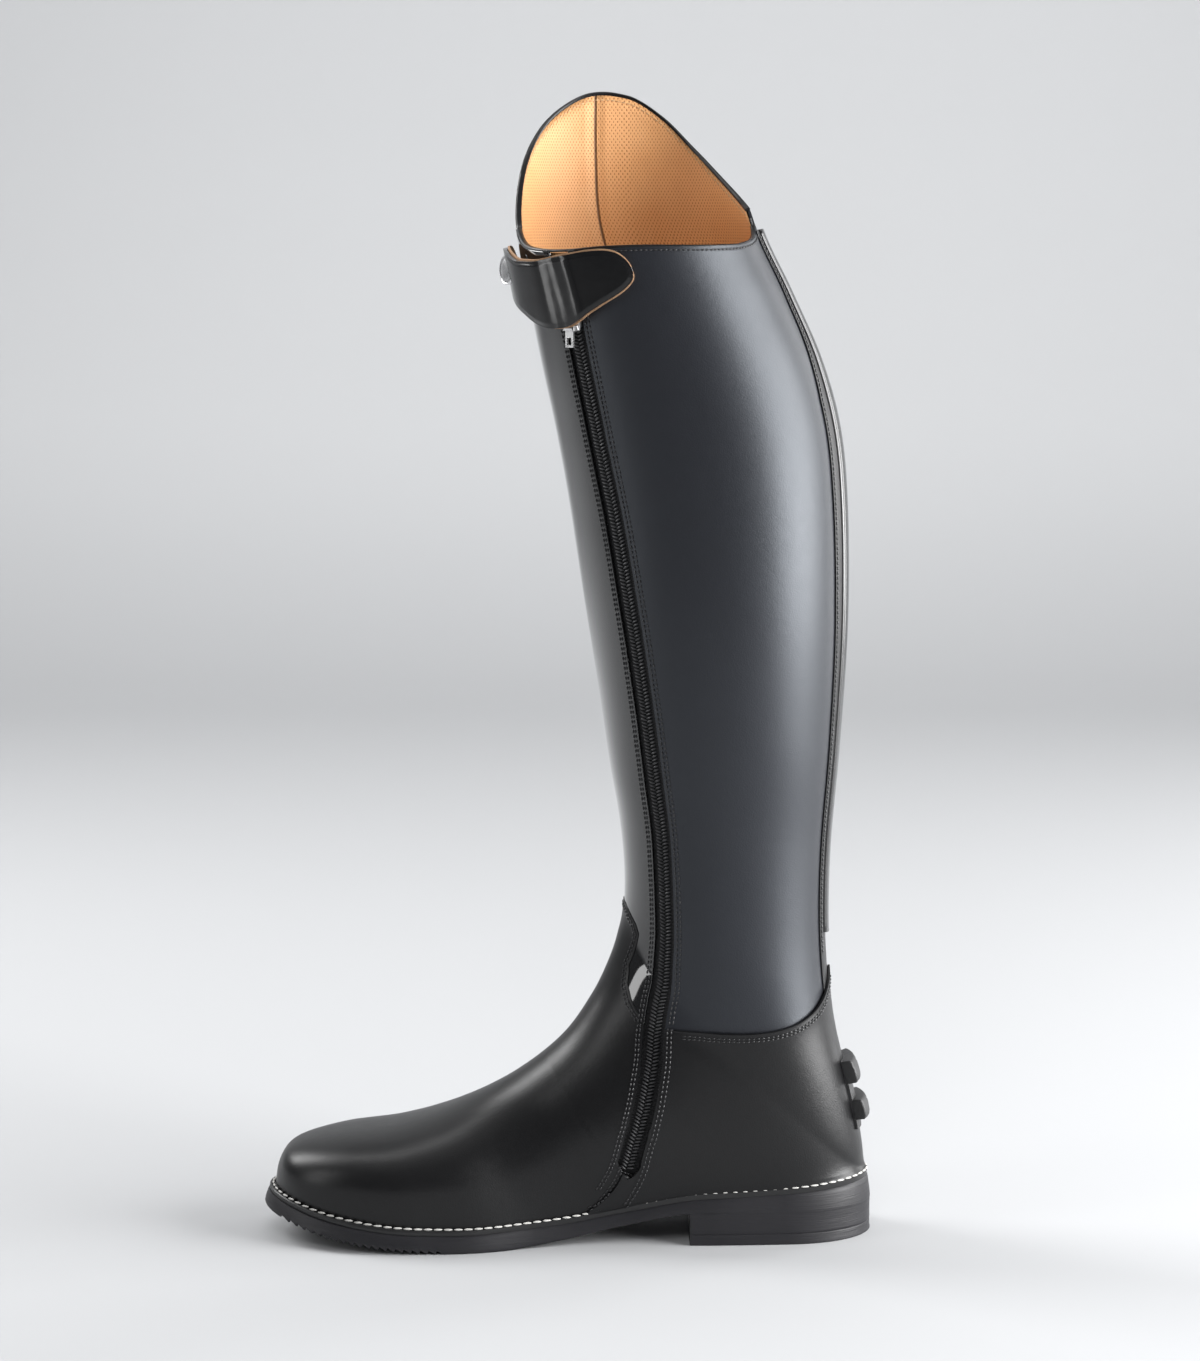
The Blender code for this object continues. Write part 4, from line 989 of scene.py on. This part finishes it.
shaft_ground = grounds(patent_front, quarter)
foot_ground = grounds(vamp, counter)
all_ground = grounds(patent_front, quarter, vamp, counter)
stay_ground = grounds(stay_band)
for number, shift in enumerate(ZIP_SEAMS, 1):
    seam("zip_seam_%d" % number, *course[12:-6].T, shift, all_ground)
tack = on_zip(np.full(12, coil_end + 0.0012), np.linspace(-0.0042, 0.0042, 12), 0.0)
for number, down in enumerate(TACK_SEAMS, 1):
    stitched("zip_tack_%d" % number, tack + course_down[TACK_AT] * down,
             np.tile(course_out[TACK_AT], (12, 1)), 0.0016, STITCH, black_thread)
throat_rows = np.linspace(8.62, 11.27, 120)
side_rows = np.linspace(6.02, 8.6, 90)
outer_rows = np.linspace(11.0, 21.9, 220)
for side, label in ((1, "inner"), (-1, "outer")):
    for number, shift in enumerate(TWO_ROWS, 1):
        ending = "_%s_%d" % (label, number)
        seam("throat_seam" + ending, throat_rows, side * vamp_edge(throat_rows), side * shift,
             foot_ground)
        seam("counter_seam" + ending, top_rows[8:-1], side * top_arounds[8:-1],
             -side * (shift + 0.0006), foot_ground)
        rows = side_rows if side < 0 else side_rows[:24]
        seam("vamp_seam" + ending, rows, side * vamp_edge(rows), side * shift, foot_ground)
        if side < 0:
            seam("outer_seam_%d" % number, outer_rows, -outer_seam(outer_rows), shift,
                 shaft_ground)
    stay_line = np.linspace(12.9, STAY_TOP - 0.05, 150)
    stay_around = 1 + side * np.interp(stay_line, stay_rows, stay_halves)
    seam("stay_seam_%s" % label, stay_line, stay_around, side * STAY_SEAM_IN, stay_ground)
rim_around = np.linspace(0.30, 1.93, 300)
rim_around = rim_around[np.abs(rim_around - 1) > 0.05]
for label, part in (("inner", rim_around[rim_around < 1]), ("outer", rim_around[rim_around > 1])):
    seam("collar_seam_%s" % label, rim_row(part), part, -COLLAR_SEAM_DOWN, shaft_ground)


# Elastic gusset
# Black ribbed elastic let into a notch at the back of the collar, between the two corners of
# the quarter, so that the collar gives as the calf moves. The grooves between its ribs carry
# painted shade.
GUSSET_AROUND = 0.11
GUSSET_IN = 0.0007
BACK_TOP = SHAFT_HEIGHT + COLLAR[-1][0] * CROWN_RISE


def gusset_where(u, v):
    low = BACK_TOP - GUSSET_DEPTH * 1.2
    high = BACK_TOP - 0.0014
    return row_at(low + v * (high - low)), 1 + (u - 0.5) * GUSSET_AROUND, -GUSSET_IN


ribbed_elastic = Finish("ribbed_elastic", Roughness=0.75)
ribs_and_shade = ribbed_elastic.bands(300.0)
# Painted shade: the grooves between the ribs are painted darker than the rib crests.
ribbed_elastic.paint(Base_Color=ribbed_elastic.mix(ribs_and_shade, (0.006, 0.006, 0.006),
                                                   (0.022, 0.022, 0.023)))
ribbed_elastic.relief(ribs_and_shade, 0.0003)
gusset = leather("gusset_elastic", 16, 16, [gusset_where], 0.0006, ribbed_elastic)
attach(gusset, "elastic_gusset")


# Collar edge
# The black leather is turned over the lining all round the collar, so that a thin dark fold
# shows above the tan on the crown.
FOLD = ((0.0004, -0.0008), (0.0005, -0.0003), (0.0002, 0.0002), (-0.0006, 0.0003),
        (-0.0014, 0.0002), (-0.0018, -0.0001), (-0.0019, -0.0008), (-0.0012, -0.0010))
FOLD_START = 1.046
FOLD_AROUND = 1.908
CROWN_STITCH = (0.0019, 0.0007, 0.0005)


def fold_place(u, v):
    around = FOLD_START + FOLD_AROUND * v
    out_by, up_by = on_ring(FOLD, u)
    turn = np.where(around > 2, around - 2, around)
    row = rim_row(turn)
    points = skin(row, turn) + outward(row, turn) * np.reshape(out_by, (-1, 1))
    points[:, 2] += up_by
    return points


fold = laid(len(FOLD), 300, fold_place)
bmesh.ops.holes_fill(fold, edges=[edge for edge in fold.edges if edge.is_boundary], sides=0)
collar_fold = shaped("collar_fold", fold, foot_calf)
attach(collar_fold)

tan_thread = flecked("tan_thread", 2200.0, 2.0, (0.46, 0.26, 0.12), (0.66, 0.42, 0.22), 0.0001,
                     Roughness=0.6)
crown = np.linspace(-0.94, 0.94, 420)
crown_rows = row_at(rim_height(crown) - 0.0034)
inside = outward(crown_rows, crown)
stitched("crown_stitches", skin(crown_rows, crown) - inside * 0.0024, -inside, 0.0024,
         CROWN_STITCH, tan_thread, grounds(lining))


# Closing strap
# A polished strap over the top of the zip: its round lobe is sewn behind the zip, and the rest
# folds over to a snap at the front. Two layers, with the raw tan edge showing between them.
STRAP_THICKNESS = 0.0026
STRAP_STITCH = (0.0017, 0.0008, 0.0007)
STRAP_CREASES = (0.262, 0.276)
STRAP_SEAMS = (0.0016, 0.0029)
STRAP = (
    # around, lower, upper, lift
    (-0.050, 0.9690, 0.9890, 2.2), (-0.028, 0.9600, 0.9985, 2.8), (0.005, 0.9560, 1.0000, 3.6),
    (0.060, 0.9445, 0.9965, 4.0), (0.126, 0.9345, 0.9895, 4.2), (0.176, 0.9260, 0.9885, 4.5),
    (0.222, 0.9215, 0.9885, 4.4), (0.268, 0.9225, 0.9910, 2.7), (0.306, 0.9295, 0.9930, 2.8),
    (0.326, 0.9345, 0.9940, 2.0), (0.366, 0.9430, 0.9960, 1.1), (0.412, 0.9525, 0.9965, 0.6),
    (0.440, 0.9600, 0.9935, 0.4), (0.456, 0.9665, 0.9870, 0.35), (0.462, 0.9720, 0.9800, 0.35),
)


def strap_layer(lift, drawn_in):
    """Layer of the strap whose face stands off the boot by lift, its edges drawn in."""
    def where(u, v):
        around, lower, upper, bulge = curve(STRAP, u * (len(STRAP) - 1)).T
        middle = (lower + upper) / 2
        half = np.maximum((upper - lower) / 2 - drawn_in / SHAFT_HEIGHT, 0.0005)
        height = SHAFT_HEIGHT * (middle + half * (2 * v - 1))
        return row_at(height), around, bulge / 1000 + lift
    return where


polished = Finish("polished_leather", Specular_IOR_Level=0.4, Coat_Weight=0.35,
                  Coat_Roughness=0.08)
soft = polished.noise(40.0, 3.0)
polished.paint(Base_Color=polished.mix(soft, (0.0045, 0.0045, 0.005), (0.0075, 0.0075, 0.008)),
               Roughness=0.15 + 0.10 * soft)
polished.relief(soft + 1.6 * polished.between(polished.attribute("edge"), 0.1, 2.4), 0.0004)
raw_edge = flecked("raw_edge", 1200.0, 3.0, (0.36, 0.19, 0.10), (0.60, 0.38, 0.22), 0.0002,
                   Roughness=0.7)
strap_top = leather("strap_top", 90, 16, [strap_layer(STRAP_THICKNESS, 0.0005)], 0.0016, polished,
                    rounded=0.0005)
strap_back = leather("strap_back", 90, 16, [strap_layer(0.0010, 0.0)], 0.0010, raw_edge,
                     rounded=0.0002)
attach(strap_top, "strap")
attach(strap_back)
strap_ground = grounds(strap_top)


def strap_sewn(name, rows, arounds, lift):
    """Row of stitches on the strap's face, laid from points that stand off the boot by lift."""
    out = outward(rows, arounds)
    stitched(name, skin(rows, arounds) + out * lift, out, STITCH_PITCH, STRAP_STITCH,
             black_thread, strap_ground)


crease_rows = row_at(np.linspace(0.9260, 0.9880, 30) * SHAFT_HEIGHT)
for number, around in enumerate(STRAP_CREASES, 1):
    strap_sewn("strap_crease_%d" % number, crease_rows, np.full(30, around), 0.0055)
there = curve(STRAP, np.linspace(0.3, len(STRAP) - 1.25, 200))
back = there[::-1]
for number, inside in enumerate(STRAP_SEAMS, 1):
    heights = np.concatenate([there[:, 1] * SHAFT_HEIGHT + inside,
                              back[:, 2] * SHAFT_HEIGHT - inside])
    lifts = np.concatenate([there[:, 3], back[:, 3]]) / 1000 + STRAP_THICKNESS
    strap_sewn("strap_seam_%d" % number, row_at(heights),
               np.concatenate([there[:, 0], back[:, 0]]), lifts[:, None])


# Snap cap
# A plain pressed cap of brushed silver metal on the strap's free end, with a rolled rim round a
# gently domed face.
SNAP_PROFILE = ((0.0, 0.84), (0.40, 0.82), (0.70, 0.74), (0.80, 0.66), (0.86, 0.70), (0.93, 0.74),
                (0.99, 0.62), (1.0, 0.42), (0.97, 0.16), (0.90, 0.0), (0.0, 0.0))
SNAP_RADIUS = 0.00675
SNAP_THICKNESS = 0.0030
SNAP_TURN = math.radians(28)
SNAP_LEVEL = 0.975
SNAP_AROUND = 0.026
SNAP_OUT = 0.0049
silver = flecked("silver_metal", 220.0, 3.0, (0.66, 0.66, 0.67), (0.78, 0.78, 0.78),
                 gloss=(0.20, 0.16), Metallic=1.0, Roughness=0.26)
snap = bmesh.new()
for radius, height in SNAP_PROFILE:
    snap.verts.new((radius * SNAP_RADIUS, 0.0, height * SNAP_THICKNESS))
snap.verts.ensure_lookup_table()
for first, second in zip(snap.verts[:-1], snap.verts[1:]):
    snap.edges.new((first, second))
bmesh.ops.spin(snap, geom=snap.verts[:] + snap.edges[:], axis=(0, 0, 1), cent=(0, 0, 0),
               angle=math.tau, steps=40, use_merge=True)
snap_row = row_at(SNAP_LEVEL * SHAFT_HEIGHT)
snap_out = Vector((math.cos(SNAP_TURN), math.sin(SNAP_TURN), 0.0))
snap_frame = snap_out.to_track_quat("Z", "Y").to_matrix().to_4x4()
snap_frame.translation = (Vector(skin(np.array([snap_row]), np.array([SNAP_AROUND]))[0])
                          + snap_out * (SNAP_OUT + STRAP_THICKNESS))
bmesh.ops.transform(snap, matrix=snap_frame, verts=snap.verts)
attach(shaped("snap_metal_cap", snap, silver), "snap_cap")


# Slider and pull
# Cast metal, polished. The slider closes the coils under the strap, and the pull hangs from its
# pin: a plate above a rectangular window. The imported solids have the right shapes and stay.
for node in ("zip_slider", "zip_pull"):
    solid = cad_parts[node]
    solid.data.materials.clear()
    solid.data.materials.append(silver.made)


# Spur rest
# A moulded rubber rest across the back of the heel: a thin plate with two square-ended bars that
# keep a spur's heel band from slipping.
REST_SPAN = 0.105
PLATE_LEVELS = (0.0475, 0.0790)
BARS = ((0.0518, 0.0610), (0.0682, 0.0786))
BAR_DEPTH = 0.0062
REST_LIFT = 0.0012
# Outline of a bar seen from its end: share of the depth, share of the height
BAR_SHAPE = ((0.0, 0.0), (0.80, 0.0), (0.93, 0.06), (1.0, 0.2), (1.0, 0.62), (0.95, 0.70),
             (0.95, 0.80), (0.88, 0.95), (0.76, 1.0), (0.0, 1.0))


def rest_bar(name, low, high, depth, span, rounded, node=None):
    """Bar or plate bent round the back of the heel between two heights."""
    def place(u, v):
        out_by, up_by = on_ring(BAR_SHAPE, u)
        around = 1 + (2 * v - 1) * span
        row = level_row(low + up_by * (high - low), around)
        return (skin(row, around) + outward(row, around)
                * np.reshape(REST_LIFT + out_by * depth, (-1, 1)))
    bm = laid(len(BAR_SHAPE), 14, place)
    bmesh.ops.remove_doubles(bm, verts=bm.verts, dist=SMALLEST)
    bmesh.ops.holes_fill(bm, edges=[edge for edge in bm.edges if edge.is_boundary], sides=0)
    made = shaped(name, bm, moulded)
    round_edges(made, rounded, 3, 40)
    attach(made, node)


moulded = flecked("moulded_rubber", 400.0, 3.0, (0.016, 0.016, 0.0165), (0.026, 0.026, 0.027),
                  0.00012, (0.38, 0.18), Roughness=0.45)
rest_bar("spur_rest_plate", *PLATE_LEVELS, 0.0014, REST_SPAN * 0.98, 0.0003, "spur_rest")
rest_bar("spur_rest_bar_low", *BARS[0], BAR_DEPTH, REST_SPAN, 0.0008)
rest_bar("spur_rest_bar_high", *BARS[1], BAR_DEPTH, REST_SPAN, 0.0008)


# Studio
# A pale grey sweep that turns up behind the boot, its floor painted darker than its wall as
# painted shade, large soft lights at the heel and toe sides, a fill, one overhead and one on the
# backdrop, and a camera on the inner side of the leg.
SWEEP_WIDTH = 12.0
SWEEP_LENGTH = 9.0
SWEEP_FRONT = 3.5
BEND_START = 1.8
BEND_LENGTH = 1.2
BEND_RADIUS = 0.76


def sweep_place(u, v):
    run = v * SWEEP_LENGTH - SWEEP_FRONT
    turn = np.clip(run - BEND_START, 0, BEND_LENGTH) / BEND_LENGTH * np.pi / 2
    depth = np.minimum(run, BEND_START) + BEND_RADIUS * np.sin(turn)
    rise = BEND_RADIUS * (1 - np.cos(turn)) + np.maximum(0, run - BEND_START - BEND_LENGTH)
    return np.stack([(u - 0.5) * SWEEP_WIDTH, -depth, rise], -1)


paper = Finish("studio_paper", Roughness=0.9)
# Painted shade: the floor is painted a darker grey than the wall, to cancel the extra light the
# heel-side lamps throw on it.
wall = paper.between(paper.part(paper.place(), 2), -0.05, 0.25)
paper.paint(Base_Color=paper.mix(0.9 * wall + 0.1 * paper.noise(0.8), (0.452, 0.458, 0.468),
                                 (0.560, 0.567, 0.577)))
sweep = shaped("studio_sweep", laid(4, 60, sweep_place), paper, closed=False)
if sweep.data.polygons[0].normal.z < 0:
    sweep.data.flip_normals()

scene = bpy.context.scene
world = bpy.data.worlds.new("studio_air")
world.use_nodes = True
air = world.node_tree.nodes["Background"].inputs
air["Color"].default_value = (0.78, 0.80, 0.83, 1.0)
air["Strength"].default_value = 0.15
scene.world = world
scene.view_settings.view_transform = "Standard"


def softbox(name, place, aim, width, height, power, mirrored=True):
    """Rectangular soft light that faces a point, left out of reflections if not mirrored."""
    light = bpy.data.lights.new(name, "AREA")
    light.shape = "RECTANGLE"
    light.size = width
    light.size_y = height
    light.energy = power
    box = bpy.data.objects.new(name, light)
    box.location = place
    box.visible_glossy = mirrored
    box.rotation_euler = (Vector(aim) - Vector(place)).to_track_quat("-Z", "Y").to_euler()
    scene.collection.objects.link(box)


softbox("soft_heel_side", (-1.52, 0.40, 0.66), (0.05, 0.0, 0.30), 1.5, 1.3, 76.0)
softbox("soft_heel_low", (-1.10, 0.34, 0.20), (0.0, 0.0, 0.06), 0.55, 0.34, 5.0)
softbox("soft_toe_side", (1.30, -0.60, 1.15), (0.18, 0.0, 0.10), 0.6, 0.9, 18.0)
softbox("soft_behind_heel", (-1.25, -0.95, 0.60), (0.0, 0.0, 0.25), 0.50, 1.2, 9.0)
softbox("soft_front_strip", (1.35, 0.62, 0.60), (0.08, 0.0, 0.35), 0.30, 1.1, 4.5)
softbox("soft_fill", (0.30, 1.90, 1.75), (0.05, 0.0, 0.35), 0.9, 0.9, 12.5, mirrored=False)
softbox("soft_overhead", (0.3, 0.1, 2.5), (0.08, 0.0, 0.0), 2.0, 2.0, 5.0)
softbox("soft_backdrop", (0.1, -0.7, 3.2), (0.1, -3.4, 1.3), 3.0, 1.0, 60.0)

lens = bpy.data.cameras.new("photograph")
lens.lens = 97.0
lens.clip_start = 0.05
camera = bpy.data.objects.new("photograph", lens)
camera.location = (0.0816, 1.63, 0.46)
camera.rotation_euler = (math.radians(90 - 7.3), 0.0, math.radians(180))
scene.collection.objects.link(camera)
scene.camera = camera
